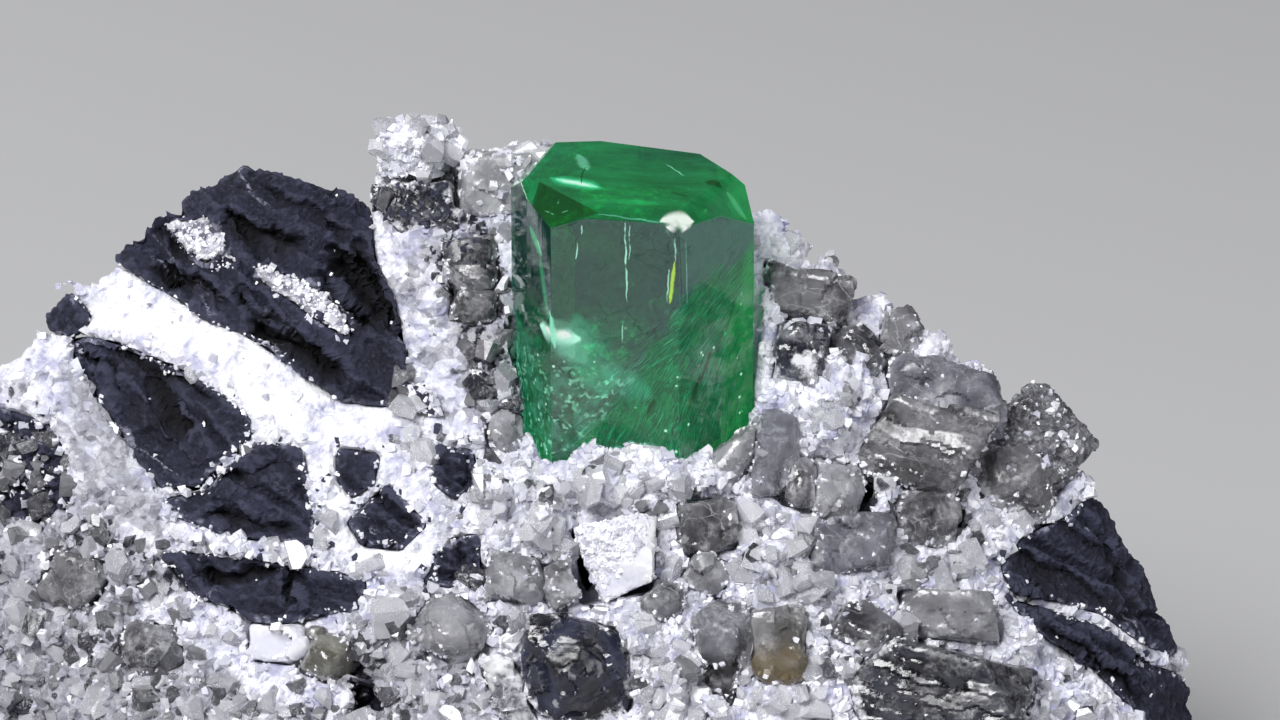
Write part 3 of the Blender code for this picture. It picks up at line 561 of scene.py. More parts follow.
@dataclass(frozen=True)
class WhiteRockFinish(Finish):
    """Sugary white calcite with greyer, darker and more fibrous patches where the rock's tone says so; its lavender
    patches, its small dark pits and its darkest hollows are painted shade.
    """

    white: Colour = (0.90, 0.90, 0.94)
    lavender: Colour = (0.40, 0.40, 0.58)
    grey: Colour = (0.20, 0.20, 0.23)
    light_grey: Colour = (0.42, 0.42, 0.48)
    dark: Colour = (0.016, 0.016, 0.028)
    fibre_turn: tuple[float, float, float] = (0, -57, 0)

    def paint(self, graph: Graph, shader: bpy.types.Node, place: Socket) -> None:
        """Wires colour, roughness and a fine sugary bump.

        Args:
            graph: the material's tree.
            shader: its Principled shader.
            place: coordinates in millimetres.
        """
        grey, dark, vein = self.tone(graph, "tone")
        coarse = Effects.sugar(graph, place, 1.25)
        fine = Effects.sugar(graph, place, 0.42)
        fibres = graph.noise(graph.turned(place, self.fibre_turn, (5.0, 1.0, 0.8)), 0.34, 3.0, 0.65)
        soft = Effects.cloud(graph, place, 1.9, 0.42, 0.64, 5.0)
        fibrous = graph.step(fibres, 0.40, 0.66)
        shade = graph.math("MULTIPLY", soft, graph.between(fibrous, 0.25, 1.0))
        # painted shade: soft lavender patches, in the veins mostly along the fibres
        shadow = graph.between(graph.step(vein, 0.3, 1.0), graph.math("MAXIMUM", graph.math(
            "MULTIPLY", soft, 0.85), graph.math("MULTIPLY", fibrous, 0.55)), shade)
        colour = graph.mixed(shadow, self.white, self.lavender)
        own = graph.math("ADD", graph.math("MULTIPLY", coarse.outputs["Random"], 0.5),
                         graph.math("MULTIPLY", graph.noise(place, 0.9, 4.0, 0.65), 0.5))
        greyed = graph.step(graph.math("SUBTRACT", grey, own), -0.10, 0.22)
        tinted = graph.mixed(fine.outputs["Other"], self.grey, self.light_grey)
        colour = graph.mixed(graph.math("MULTIPLY", greyed, 0.85), colour, tinted)
        # dark specks where the rock's dark share is high, and in the hollows painted shade
        speck = graph.math("ADD", graph.math("MULTIPLY", fine.outputs["Other"], 0.30),
                           graph.math("MULTIPLY", graph.noise(place, 1.1, 4.0, 0.6), 0.95))
        darkened = graph.step(graph.math("SUBTRACT", dark, speck), -0.34, -0.16)
        # painted shade: small dark pits
        pit_shade = graph.math("MULTIPLY", graph.step(graph.noise(place, 0.55, 2.0), 0.70, 0.76), 0.65)
        colour = graph.mixed(graph.math("MAXIMUM", darkened, pit_shade), colour, self.dark)
        graph.feed(shader.inputs["Base Color"], colour)
        graph.feed(shader.inputs["Roughness"], graph.between(fine.outputs["Random"], 0.28, 0.60))
        height = graph.math("ADD", fine.outputs["Height"], graph.between(
            vein, graph.noise(place, 0.14, 2.0), graph.math("MULTIPLY", fibres, 1.4)))
        self.bump(graph, shader, height, 0.06, 0.9)


@dataclass(frozen=True)
class ShaleFinish(Finish):
    """Matt, blue-black, finely granular shale with a dust of white calcite in its cracks, raised edges lighter as
    painted highlight, clefts near black as painted shade, and glinting specks.
    """

    deep: Colour = (0.006, 0.006, 0.012)
    light: Colour = (0.030, 0.031, 0.064)
    # edge is the painted highlight on raised edges
    edge: Colour = (0.065, 0.068, 0.115)
    dust: Colour = (0.50, 0.50, 0.64)

    def paint(self, graph: Graph, shader: bpy.types.Node, place: Socket) -> None:
        """Wires colour, roughness and a gritty bump.

        Args:
            graph: the material's tree.
            shader: its Principled shader.
            place: coordinates in millimetres.
        """
        grit = graph.noise(place, 0.22, 3.0, 0.7)
        broad = graph.noise(place, 3.2, 3.0, 0.55)
        share = graph.step(graph.math("ADD", graph.math("MULTIPLY", grit, 0.7), graph.math("MULTIPLY", broad, 0.5)),
                           0.36, 0.86)
        colour = graph.mixed(share, self.deep, self.light)
        # painted highlight: raised edges lighter
        raised = graph.step(graph.node("ShaderNodeNewGeometry").outputs["Pointiness"], 0.505, 0.56)
        colour = graph.mixed(graph.math("MULTIPLY", raised, 0.6), colour, self.edge)
        # painted shade: the clefts near black
        colour = graph.mixed(self.tone(graph, "cleft")[0], colour, (0.002, 0.002, 0.004))
        along = graph.turned(place, (0, 33, 0), (3.2, 1.4, 1.0))
        crack = Effects.streaks(graph, along, 3.4, 0.03, 0.56)
        powder = graph.math("MULTIPLY", crack, graph.step(grit, 0.40, 0.62))
        margin = self.tone(graph, "margin")[0]
        ragged = graph.math("ADD", graph.noise(place, 1.3, 4.0, 0.7), graph.math("MULTIPLY", margin, 0.55))
        powder = graph.math("MAXIMUM", powder, graph.math("MULTIPLY", graph.step(ragged, 0.92, 1.04), margin))
        colour = graph.mixed(graph.math("MULTIPLY", powder, 0.6), colour, self.dust)
        # glinting specks: lower roughness, and a lighter colour as painted glint
        glint = graph.step(graph.noise(place, 0.11, 1.0), 0.74, 0.80)
        colour = graph.mixed(graph.math("MULTIPLY", glint, 0.5), colour, (0.22, 0.22, 0.28))
        graph.feed(shader.inputs["Base Color"], colour)
        graph.feed(shader.inputs["Roughness"], graph.between(glint, 0.78, 0.35))
        shader.inputs["Specular IOR Level"].default_value = 0.35
        self.bump(graph, shader, graph.noise(place, 0.36, 5.0, 0.8), 0.16, 1.0)


@dataclass(frozen=True)
class CloudyCalciteFinish(Finish):
    """Half-clear calcite: a tinted body with cloudy depths, pale healed cracks, dark specks, and pale edges as painted
    highlight.
    """

    body: Colour = (0.62, 0.61, 0.60)
    depth: Colour = (0.36, 0.35, 0.34)
    crack: Colour = (0.86, 0.86, 0.91)
    # rim: how strongly the edges are painted pale, as painted highlight
    rim: float = 0.45
    speck: float = 0.5
    frost: float = 0.38
    cracks: float = 0.7
    spacing: float = 2.4
    clear: float = 0.7
    run: tuple[float, float, float] = (0, 20, 0)
    length: float = 2.2
    rough: tuple[float, float] = (0.09, 0.42)
    foot: Colour | None = None
    foot_height: float = 0.0
    inside: Colour = (0.60, 0.59, 0.57)
    density: float = 0.0

    def paint(self, graph: Graph, shader: bpy.types.Node, place: Socket) -> None:
        """Wires colour, roughness and a soft cleavage bump.

        Args:
            graph: the material's tree.
            shader: its Principled shader.
            place: coordinates in millimetres.
        """
        cloud = Effects.cloud(graph, place, 2.6, 0.38, 0.62)
        colour = graph.mixed(cloud, self.depth, self.body)
        # painted highlight: the edges pale, by rim
        edge = graph.step(graph.node("ShaderNodeNewGeometry").outputs["Pointiness"], 0.53, 0.60)
        colour = graph.mixed(graph.math("MULTIPLY", edge, self.rim), colour, self.crack)
        frosty = Effects.cloud(graph, place, 1.7, 0.44, 0.60, 5.0)
        grit = graph.step(graph.noise(place, 0.26, 3.0, 0.75), 0.42, 0.64)
        colour = graph.mixed(graph.math("MULTIPLY", graph.math("MULTIPLY", frosty, grit), self.frost), colour, self.crack)
        if self.foot is not None:
            height = graph.parts(place)[2]
            wavy = graph.math("ADD", height, graph.math("MULTIPLY", graph.noise(place, 1.6), 1.6))
            low = graph.math("SUBTRACT", 1.0, graph.step(wavy, self.foot_height + 0.2, self.foot_height + 1.5))
            colour = graph.mixed(low, colour, self.foot)
        along = graph.turned(place, self.run, (self.length, 1.0, 1.0))
        crack = Effects.streaks(graph, along, self.spacing, 0.013, 0.46)
        veil = graph.math("MULTIPLY", Effects.cloud(graph, along, 1.4, 0.50, 0.78, 5.0), 0.75)
        pale = graph.math("MULTIPLY", graph.math("MAXIMUM", crack, veil), self.cracks)
        margin = self.tone(graph, "margin")[0]
        sugared = graph.step(graph.math("ADD", graph.noise(place, 1.1, 4.0, 0.7),
                                        graph.math("MULTIPLY", margin, 0.45)), 0.70, 0.92)
        pale = graph.math("MAXIMUM", pale, graph.math("MULTIPLY", sugared, 0.9))
        colour = graph.mixed(pale, colour, self.crack)
        speck = graph.step(graph.noise(place, 0.4, 2.0), 0.72, 0.78)
        colour = graph.mixed(graph.math("MULTIPLY", speck, self.speck), colour, (0.05, 0.05, 0.06))
        graph.feed(shader.inputs["Base Color"], colour)
        graph.feed(shader.inputs["Roughness"], graph.between(graph.math("MAXIMUM", frosty, sugared), *self.rough))
        shader.inputs["Transmission Weight"].default_value = self.clear
        shader.inputs["IOR"].default_value = 1.6
        height = graph.math("ADD", graph.noise(along, 1.1, 2.0, 0.5), graph.math(
            "MULTIPLY", Effects.sugar(graph, place, 0.5).outputs["Height"], graph.math("MULTIPLY", sugared, 0.5)))
        height = graph.math("ADD", height, graph.math("MULTIPLY", grit, 0.14))
        self.bump(graph, shader, height, 0.06, 0.5)
        if self.density:
            absorb = graph.node("ShaderNodeVolumeAbsorption",
                                {"Color": (*self.inside, 1.0), "Density": self.density})
            graph.feed(graph.tree.nodes["Material Output"].inputs["Volume"], absorb.outputs[0])


@dataclass(frozen=True)
class GrainFinish(Finish):
    """Small crystals: each grain has its own share between a dark and a pale tint."""

    dark: Colour = (0.20, 0.195, 0.19)
    pale: Colour = (0.85, 0.85, 0.89)
    clear: float = 0.4
    rough: tuple[float, float] = (0.08, 0.38)
    frost: float = 0.0

    def paint(self, graph: Graph, shader: bpy.types.Node, place: Socket) -> None:
        """Wires a tint for each grain, a little mottled.

        Args:
            graph: the material's tree.
            shader: its Principled shader.
            place: coordinates in millimetres.
        """
        own = self.tone(graph, "tint")[0]
        mottle = graph.noise(place, 0.7, 4.0, 0.7)
        share = graph.step(graph.math("ADD", own, graph.math("MULTIPLY", mottle, 1.3)), 0.45, 1.55)
        colour = graph.mixed(share, self.dark, self.pale)
        grit = graph.step(graph.noise(place, 0.24, 3.0, 0.75), 0.46, 0.62)
        frosty = graph.math("MULTIPLY", Effects.cloud(graph, place, 1.0, 0.42, 0.60, 4.0), grit)
        colour = graph.mixed(graph.math("MULTIPLY", frosty, self.frost), colour, (0.90, 0.90, 0.95))
        graph.feed(shader.inputs["Base Color"], colour)
        graph.feed(shader.inputs["Roughness"], graph.between(frosty, *self.rough))
        shader.inputs["Transmission Weight"].default_value = self.clear
        shader.inputs["IOR"].default_value = 1.58
        self.bump(graph, shader, mottle, 0.03, 0.5)


@dataclass(frozen=True)
class Stroke:
    """One line or spot in the emerald, between two places on the 1280 by 720 sheet, in one tint.

    A bright one is painted light: it glows through the emission as a painted glint or highlight. A dark one dims it.
    """

    start: tuple[float, float]
    end: tuple[float, float]
    width: float
    tint: Colour
    share: float = 1.0

    @property
    def bright(self) -> bool:
        """Whether it is painted light, glowing through the emission."""
        return max(self.tint) > 0.9


# MINT and PALE_LINE are tints of painted glow for the bright strokes; DARK_LINE and BROWN_GREEN darken the colour
MINT: Colour = (0.30, 0.95, 0.66)
PALE_LINE: Colour = (0.45, 0.95, 0.75)
DARK_LINE: Colour = (0.04, 0.12, 0.08)
BROWN_GREEN: Colour = (0.05, 0.16, 0.04)


@dataclass(frozen=True)
class PaintedLightFacet:
    """A crown facet painted darker, as painted shade, or brighter, as a painted highlight: its corners as they lie on
    the crystal, going round, and its tint.
    """

    corners: tuple[tuple[float, float], ...]
    tint: Colour
    share: float

    def mask(self, graph: Graph, place: Socket) -> Socket:
        """One inside the facet, and none outside.

        Args:
            graph: the material's tree.
            place: coordinates in millimetres.
        Returns:
            The mask.
        """
        spots = [PRISM.surface_spot(*corner) for corner in self.corners]
        middle = sum(spots, Vector()) / len(spots)
        eye = FACE.place(0, 0, -CAMERA_DISTANCE) / MM
        mask = self.share
        for start, end in zip(spots, spots[1:] + spots[:1]):
            side = (start - eye).cross(end - eye).normalized()
            side *= -1 if (middle - eye).dot(side) < 0 else 1
            reach = graph.math("SUBTRACT", graph.vector("DOT_PRODUCT", place, tuple(side)), eye.dot(side))
            mask = graph.math("MULTIPLY", mask, graph.step(reach, -0.02, 0.06))
        return mask


@dataclass(frozen=True)
class EmeraldFinish(Finish):
    """Clear green beryl: a greyer film on the upper sides, a hazy foot on the left, and green inside, with painted
    light: a glow, glints and highlights given as emission, and painted shade on some facets and on the sides that face
    left.
    """

    crown: Colour = (0.14, 0.78, 0.42)
    upper: Colour = (0.22, 0.42, 0.52)
    lower: Colour = (0.26, 0.95, 0.64)
    haze: Colour = (0.52, 0.68, 0.76)
    inside: Colour = (0.0, 0.90, 0.56)
    # painted glow: light seen inside the crystal, given as emission
    inner_glow: Colour = (0.0, 0.042, 0.017)
    density: float = 300.0
    facets: tuple[PaintedLightFacet, ...] = (
        # painted shade on the dark corner facet and on the upper left facet, and a painted highlight on the facet at
        # the right
        PaintedLightFacet(((539, 181), (600, 213), (552, 228), (531, 208)), (0.05, 0.28, 0.10), 0.95),
        PaintedLightFacet(((524, 184), (568, 138), (578, 138), (579, 170), (556, 181), (539, 181)), (0.10, 0.55, 0.28), 0.40),
        PaintedLightFacet(((700, 214), (735, 178), (757, 205), (757, 222)), (0.30, 1.0, 0.75), 0.45),
    )
    strokes: tuple[Stroke, ...] = (
        # crown: the bright flash, its hook, the dark spot and the short dashes; the flash, the bright dashes and the
        # white painted reflection on the bright corner are painted light in the glow
        Stroke((552, 178), (600, 188), 2.0, (0.05, 0.95, 0.40), 0.40), Stroke((556, 179), (597, 187), 0.95, MINT),
        Stroke((562, 180), (590, 186), 0.55, (0.75, 1.0, 0.92)), Stroke((579, 155), (587, 170), 1.0, MINT, 0.35),
        Stroke((662, 221), (692, 221), 1.45, (1.0, 1.0, 1.0)),
        Stroke((584, 168), (580, 184), 0.12, DARK_LINE), Stroke((584, 168), (590, 167), 0.10, DARK_LINE),
        Stroke((706, 182), (720, 186), 1.10, BROWN_GREEN, 0.8), Stroke((665, 164), (685, 176), 0.12, MINT, 0.8),
        Stroke((670, 192), (690, 197), 0.30, DARK_LINE, 0.6), Stroke((727, 192), (746, 219), 0.75, MINT, 0.16),
        Stroke((596, 200), (660, 204), 0.9, (0.02, 0.95, 0.30), 0.10),
        # the pale curl in the dark corner facet, drawn in painted glow
        Stroke((542, 209), (554, 215), 0.10, MINT, 0.7), Stroke((554, 215), (570, 210), 0.10, MINT, 0.7),
        Stroke((559, 198), (556, 209), 0.08, MINT, 0.6),
        # upright growth lines on the front side, drawn pale in painted glow
        Stroke((625, 220), (627, 302), 0.16, PALE_LINE), Stroke((630, 222), (629, 262), 0.10, PALE_LINE, 0.8),
        Stroke((582, 225), (582, 235), 0.12, PALE_LINE), Stroke((577, 243), (576, 259), 0.12, PALE_LINE),
        Stroke((623, 322), (622, 348), 0.12, PALE_LINE, 0.8),
        # the front right edge: yellow-green sliver between a pale and a dark line, the sliver and the pale lines in
        # painted glow
        Stroke((675, 262), (670, 304), 0.34, (0.60, 0.95, 0.02), 0.8),
        Stroke((669, 266), (667, 304), 0.16, PALE_LINE, 0.8),
        Stroke((679, 232), (682, 300), 0.14, DARK_LINE, 0.9), Stroke((674, 234), (676, 262), 0.12, PALE_LINE, 0.8),
        Stroke((686, 240), (687, 312), 0.10, PALE_LINE, 0.5),
        # the left strip: dark edge line and the vivid wedge beside it, the wedge in painted glow
        Stroke((524, 182), (528, 206), 0.14, DARK_LINE), Stroke((528, 206), (534, 300), 0.22, DARK_LINE),
        Stroke((530, 226), (541, 256), 0.85, (0.02, 0.95, 0.30), 0.35), Stroke((537, 240), (542, 256), 0.3, MINT, 0.5),
        Stroke((540, 258), (548, 318), 0.9, (0.04, 0.95, 0.36), 0.22),
        Stroke((552, 262), (566, 292), 0.10, DARK_LINE), Stroke((554, 230), (580, 222), 0.10, DARK_LINE),
        Stroke((540, 296), (552, 318), 0.14, DARK_LINE, 0.8), 
        # the flash low on the front side and its glow, a painted highlight, and the second white stroke of the painted
        # reflection on the bright corner
        Stroke((576, 318), (604, 392), 3.8, (0.06, 0.95, 0.50), 0.13), Stroke((552, 322), (584, 360), 3.4, MINT, 0.20),
        Stroke((604, 372), (650, 396), 2.6, (0.10, 0.95, 0.60), 0.12),
        Stroke((667, 227), (687, 227), 0.8, (1.0, 1.0, 1.0)),
        Stroke((541, 326), (578, 339), 1.9, (0.55, 1.0, 0.85)), Stroke((546, 328), (570, 336), 1.1, (1.0, 1.0, 1.0)),
        Stroke((550, 312), (555, 348), 0.6, MINT, 0.8), Stroke((560, 336), (572, 356), 2.0, MINT, 0.25),
        # dark streaks low on the right side
        Stroke((711, 350), (700, 384), 0.42, BROWN_GREEN), Stroke((700, 376), (687, 414), 0.62, BROWN_GREEN, 0.8),
        Stroke((735, 300), (726, 332), 0.30, (0.05, 0.35, 0.16), 0.7),
        Stroke((655, 398), (647, 420), 0.40, (0.04, 0.30, 0.12), 0.7),
        # the pale rim where the front side meets the crown, a painted highlight in the glow
        Stroke((549, 227), (601, 214), 0.20, (0.20, 0.95, 0.70), 0.25),
        Stroke((599, 214), (664, 223), 0.22, (0.30, 0.95, 0.80), 0.34),
        Stroke((663, 222), (677, 250), 0.22, (0.30, 0.95, 0.80), 0.32),
    )

    def paint(self, graph: Graph, shader: bpy.types.Node, place: Socket) -> None:
        """Wires the colour, the film, the growth lines, the painted glow, glints and shade, and the absorption inside.

        Args:
            graph: the material's tree.
            shader: its Principled shader.
            place: coordinates in millimetres.
        """
        own = PRISM.own_axes(graph, place)
        x, _, z = graph.parts(own)
        wander = graph.math("MULTIPLY", graph.math("SUBTRACT", graph.noise(own, 1.8, 4.0, 0.6), 0.5), 3.8)
        line = graph.math("MINIMUM", graph.math("ADD", 4.3, graph.math("MULTIPLY", x, 1.49)), 11.2)
        above = graph.step(graph.math("ADD", graph.math("SUBTRACT", z, line), wander), -0.5, 1.1)
        normal = graph.node("ShaderNodeNewGeometry").outputs["True Normal"]
        facing = graph.vector("DOT_PRODUCT", normal, tuple(PRISM.matrix().to_3x3().col[2].normalized()))
        rightward = graph.step(graph.parts(normal)[0], 0.25, 0.45)
        leftward = graph.step(graph.parts(normal)[0], -0.30, -0.50)
        crown = graph.step(facing, 0.12, 0.2)
        film = graph.math("MULTIPLY", above, graph.math("SUBTRACT", 1.0, crown))
        foot = graph.math("MULTIPLY", graph.step(graph.math("ADD", z, wander), 7.6, 4.8), film)
        # painted glints: fine sparkles in the hazy foot, lighter in the colour and glowing in the emission
        sparkle = Effects.sugar(graph, own, 0.20)
        glints = graph.math("MULTIPLY", foot, graph.math("MULTIPLY", graph.step(
            sparkle.outputs["Random"], 0.66, 0.86), Effects.cloud(graph, own, 0.9, 0.42, 0.62)))
        mottle = graph.between(graph.noise(own, 0.8, 4.0, 0.6), 0.62, 1.25)
        colour = graph.mixed(film, self.lower, self.upper)
        # painted shade: the film darker on the sides that face left
        colour = graph.mixed(graph.math("MULTIPLY", film, leftward), colour, (0.09, 0.24, 0.22))
        colour = graph.mixed(foot, colour, self.haze)
        colour = graph.mixed(crown, colour, self.crown)
        colour = graph.vector("SCALE", colour)
        colour.node.inputs["Scale"].default_value = 1.0
        graph.feed(colour.node.inputs["Scale"], mottle)
        curls = graph.math("MULTIPLY", film, Effects.streaks(graph, own, 1.5, 0.035, 0.44))
        colour = graph.mixed(graph.math("MULTIPLY", curls, 0.7), colour, DARK_LINE)
        colour = graph.mixed(graph.math("MULTIPLY", glints, 0.4), colour, (0.75, 1.0, 0.9))
        drift = graph.scaled(graph.vector("SUBTRACT", graph.node(
            "ShaderNodeTexNoise", {"Vector": own, "Scale": 1.3, "Detail": 3.0}).outputs["Color"], (0.5,) * 3), 0.28)
        swayed = graph.vector("ADD", place, drift)
        # painted glow: light seen inside the crystal, brighter and bluer in the film on the sides that face right, in
        # bands in the crown, in wisps in the hazy foot and at the glints
        glow = graph.mixed(graph.math("MULTIPLY", film, 0.9), self.inner_glow,
                           graph.mixed(rightward, (0.0, 0.006, 0.012), (0.004, 0.034, 0.044)))
        bands = graph.step(graph.noise(graph.turned(own, (0, 0, 0), (2.6, 1.0, 1.0)), 1.5, 4.0, 0.65), 0.34, 0.68)
        glow = graph.mixed(graph.math("MULTIPLY", crown, bands), glow, (0.006, 0.13, 0.052))
        wisps = graph.mixed(Effects.cloud(graph, own, 0.75, 0.40, 0.62, 5.0), (0.0, 0.016, 0.012), (0.02, 0.16, 0.11))
        glow = graph.mixed(graph.math("MULTIPLY", foot, 0.8), glow, wisps)
        glow, dim = graph.mixed(graph.math("MULTIPLY", glints, 0.8), glow, (0.26, 0.70, 0.52)), 0.0
        # painted shade and highlight on single crown facets, in the colour and the glow
        for facet in self.facets:
            mask = facet.mask(graph, place)
            colour = graph.mixed(mask, colour, facet.tint)
            glow = graph.mixed(mask, glow, tuple(0.06 * part for part in facet.tint))
        # each bright stroke is painted light in the glow; a dark one darkens the colour and the film
        for stroke in self.strokes:
            start, end = (PRISM.surface_spot(*spot) for spot in (stroke.start, stroke.end))
            mask = graph.math("MULTIPLY", Effects.stroke(graph, swayed, start, end, stroke.width), stroke.share)
            if stroke.bright:
                glow = graph.mixed(mask, glow, stroke.tint)
            else:
                colour = graph.mixed(mask, colour, stroke.tint)
                glow = graph.mixed(mask, glow, (0.0, 0.004, 0.0))
                dim = graph.math("MAXIMUM", dim, mask)
        film = graph.math("MULTIPLY", film, graph.math("SUBTRACT", 1.0, graph.math("MAXIMUM", dim, curls)))
        # painted glints: small bright dots low on the sides, given as glow
        near = graph.cells(own, 0.62)
        dot = graph.math("MULTIPLY", graph.step(near.outputs["Distance"], 0.20, 0.10), graph.math(
            "MULTIPLY", graph.step(graph.parts(near.outputs["Color"])[0], 0.70, 0.80), graph.step(z, 10.4, 7.0)))
        glow = graph.mixed(graph.math("MULTIPLY", dot, graph.math("SUBTRACT", 1.0, crown)), glow, (0.55, 0.95, 0.80))
        graph.feed(shader.inputs["Base Color"], colour)
        # the glow is painted light, given as emission
        graph.feed(shader.inputs["Emission Color"], glow)
        shader.inputs["Emission Strength"].default_value = 0.8
        graph.feed(shader.inputs["Roughness"], graph.between(foot, 0.02, 0.22))
        shader.inputs["Transmission Weight"].default_value = 0.95
        shader.inputs["IOR"].default_value = 1.58
        film = graph.math("MULTIPLY", film, graph.between(leftward, 0.42, 0.10))
        graph.feed(shader.inputs["Coat Weight"], film)
        shader.inputs["Coat IOR"].default_value = 1.9
        shader.inputs["Coat Roughness"].default_value = 0.10
        lines = graph.turned(own, (0, 0, 0), (0.5, 0.5, 16.0))
        height = graph.math("ADD", graph.math("MULTIPLY", graph.noise(lines, 0.5, 2.0), 0.25),
                            graph.math("MULTIPLY", sparkle.outputs["Height"], graph.math("MULTIPLY", foot, 0.7)))
        self.bump(graph, shader, height, 0.05, 0.5)
        absorb = graph.node("ShaderNodeVolumeAbsorption",
                            {"Color": (*self.inside, 1.0), "Density": self.density})
        graph.feed(graph.tree.nodes["Material Output"].inputs["Volume"], absorb.outputs[0])


@dataclass(frozen=True)
class InclusionFinish(Finish):
    """What lies inside the emerald: each fibre or flake has its own share between a deep and a bright green."""

    deep: Colour = (0.0, 0.10, 0.04)
    bright: Colour = (0.30, 1.0, 0.60)
    ragged: float = 0.0
    width: float = 1.0
    solid: float = 1.0

    def paint(self, graph: Graph, shader: bpy.types.Node, place: Socket) -> None:
        """Wires the tint, and for a ragged veil its wispy edges.

        Args:
            graph: the material's tree.
            shader: its Principled shader.
            place: coordinates in millimetres.
        """
        own = self.tone(graph, "tint")[0]
        mottle = graph.noise(place, 0.5, 3.0)
        share = graph.step(graph.math("ADD", own, graph.math("MULTIPLY", mottle, 0.5)), 0.20, 1.25)
        clump = graph.step(graph.noise(place, 1.5, 3.0, 0.6), 0.60, 0.40)
        share = graph.math("MULTIPLY", share, graph.between(clump, 1.0, 0.25))
        graph.feed(shader.inputs["Base Color"], graph.mixed(share, self.deep, self.bright))
        shader.inputs["Roughness"].default_value = 0.25
        if self.ragged:
            wisps = Effects.cloud(graph, place, self.width, 0.5 - 0.5 * self.ragged, 0.5 + 0.5 * self.ragged, 5.0)
            graph.feed(shader.inputs["Alpha"], graph.math("MULTIPLY", wisps, self.solid))
        self.bump(graph, shader, mottle, 0.03, 0.6)


@dataclass(frozen=True)
class PlainFinish(Finish):
    """A plain pale matt surface, for the studio floor."""

    colour: Colour = (0.50, 0.50, 0.51)

    def paint(self, graph: Graph, shader: bpy.types.Node, place: Socket) -> None:
        """Sets the colour and a matt surface."""
        shader.inputs["Base Color"].default_value = (*self.colour, 1.0)
        shader.inputs["Roughness"].default_value = 0.9


# ------------------------------------------------------------------------------------------ modelling by hand

def pick_only(obj: bpy.types.Object) -> None:
    """Deselects everything but one object, and makes it the active one."""
    for other in bpy.context.selected_objects:
        other.select_set(False)
    bpy.context.view_layer.objects.active = obj
    obj.select_set(True)


@contextmanager
def editing(obj: bpy.types.Object, mode: str = "FACE") -> Iterator[None]:
    """Edit mode on one object with all of it selected, and back again."""
    pick_only(obj)
    bpy.ops.object.mode_set(mode="EDIT")
    bpy.ops.mesh.select_mode(type=mode)
    bpy.ops.mesh.select_all(action="SELECT")
    yield
    bpy.ops.object.mode_set(mode="OBJECT")


def finish_with(obj: bpy.types.Object, kind: str, **settings: object) -> None:
    """Adds a modifier to an object and applies it."""
    pick_only(obj)
    modifier = obj.modifiers.new(kind.lower(), kind)
    for name, value in settings.items():
        setattr(modifier, name, value)
    bpy.ops.object.modifier_apply(modifier=modifier.name)


def copy_of(node: str, name: str) -> bpy.types.Object:
    """Copies a node's mesh as a new object whose corners are merged.

    Args:
        node: the node of the frame.
        name: the new piece's name.
    Returns:
        The new object.
    """
    obj = bpy.data.objects.new(name, frame["nodes"][node].data.copy())
    obj.data.materials.clear()
    bpy.context.scene.collection.objects.link(obj)
    with editing(obj, "VERT"):
        bpy.ops.mesh.remove_doubles(threshold=MERGE_WITHIN)
        bpy.ops.mesh.normals_make_consistent(inside=False)
    return obj


def corners(obj: bpy.types.Object) -> np.ndarray:
    """The mesh's points as rows, in metres."""
    rows = np.empty(len(obj.data.vertices) * 3, np.float64)
    obj.data.vertices.foreach_get("co", rows)
    return rows.reshape(-1, 3)


def normals(obj: bpy.types.Object) -> np.ndarray:
    """The direction of the surface at each point."""
    rows = np.empty(len(obj.data.vertices) * 3, np.float32)
    obj.data.vertex_normals.foreach_get("vector", rows)
    return rows.reshape(-1, 3)


def paint_attribute(obj: bpy.types.Object, name: str, values: np.ndarray) -> None:
    """Stores one number, or one colour, at each point.

    Args:
        obj: the piece.
        name: the attribute's name.
        values: a number, or a row of four, for each point.
    """
    kind, key = ("FLOAT", "value") if values.ndim == 1 else ("FLOAT_COLOR", "color")
    made = obj.data.attributes.new(name, kind, "POINT")
    made.data.foreach_set(key, np.ascontiguousarray(values, np.float32).ravel())


def drop_attribute(obj: bpy.types.Object, name: str) -> None:
    """Removes an attribute that was only needed while modelling."""
    found = obj.data.attributes.get(name)
    if found:
        obj.data.attributes.remove(found)


def stand(obj: bpy.types.Object, where: Matrix) -> None:
    """Moves a piece that was modelled lying at the origin to its place, which goes into its mesh."""
    obj.data.transform(where)
    obj.data.update()


def settle(obj: bpy.types.Object, finish: Finish, nodes: Sequence[str] = ()) -> None:
    """Gives a finished piece its material and body, and hides the nodes that it stands for.

    Args:
        obj: the piece.
        finish: its finish.
        nodes: nodes of the frame that it replaces.
    """
    low, high = (np.array(corner) for corner in CAD_BOX)
    room = (high - low) * np.array([0.014, 0.014, 0.014])
    places = np.clip(corners(obj), low - room * (1, 1, 0), high + room)
    obj.data.vertices.foreach_set("co", np.ascontiguousarray(places, np.float32).ravel())
    obj.data.update()
    obj.data.materials.clear()
    obj.data.materials.append(finish.material())
    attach(obj, BODY)
    if nodes:
        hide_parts(*nodes)
    obj.data.calc_loop_triangles()
    LOG.info("%s: %d triangles", obj.name, len(obj.data.loop_triangles))


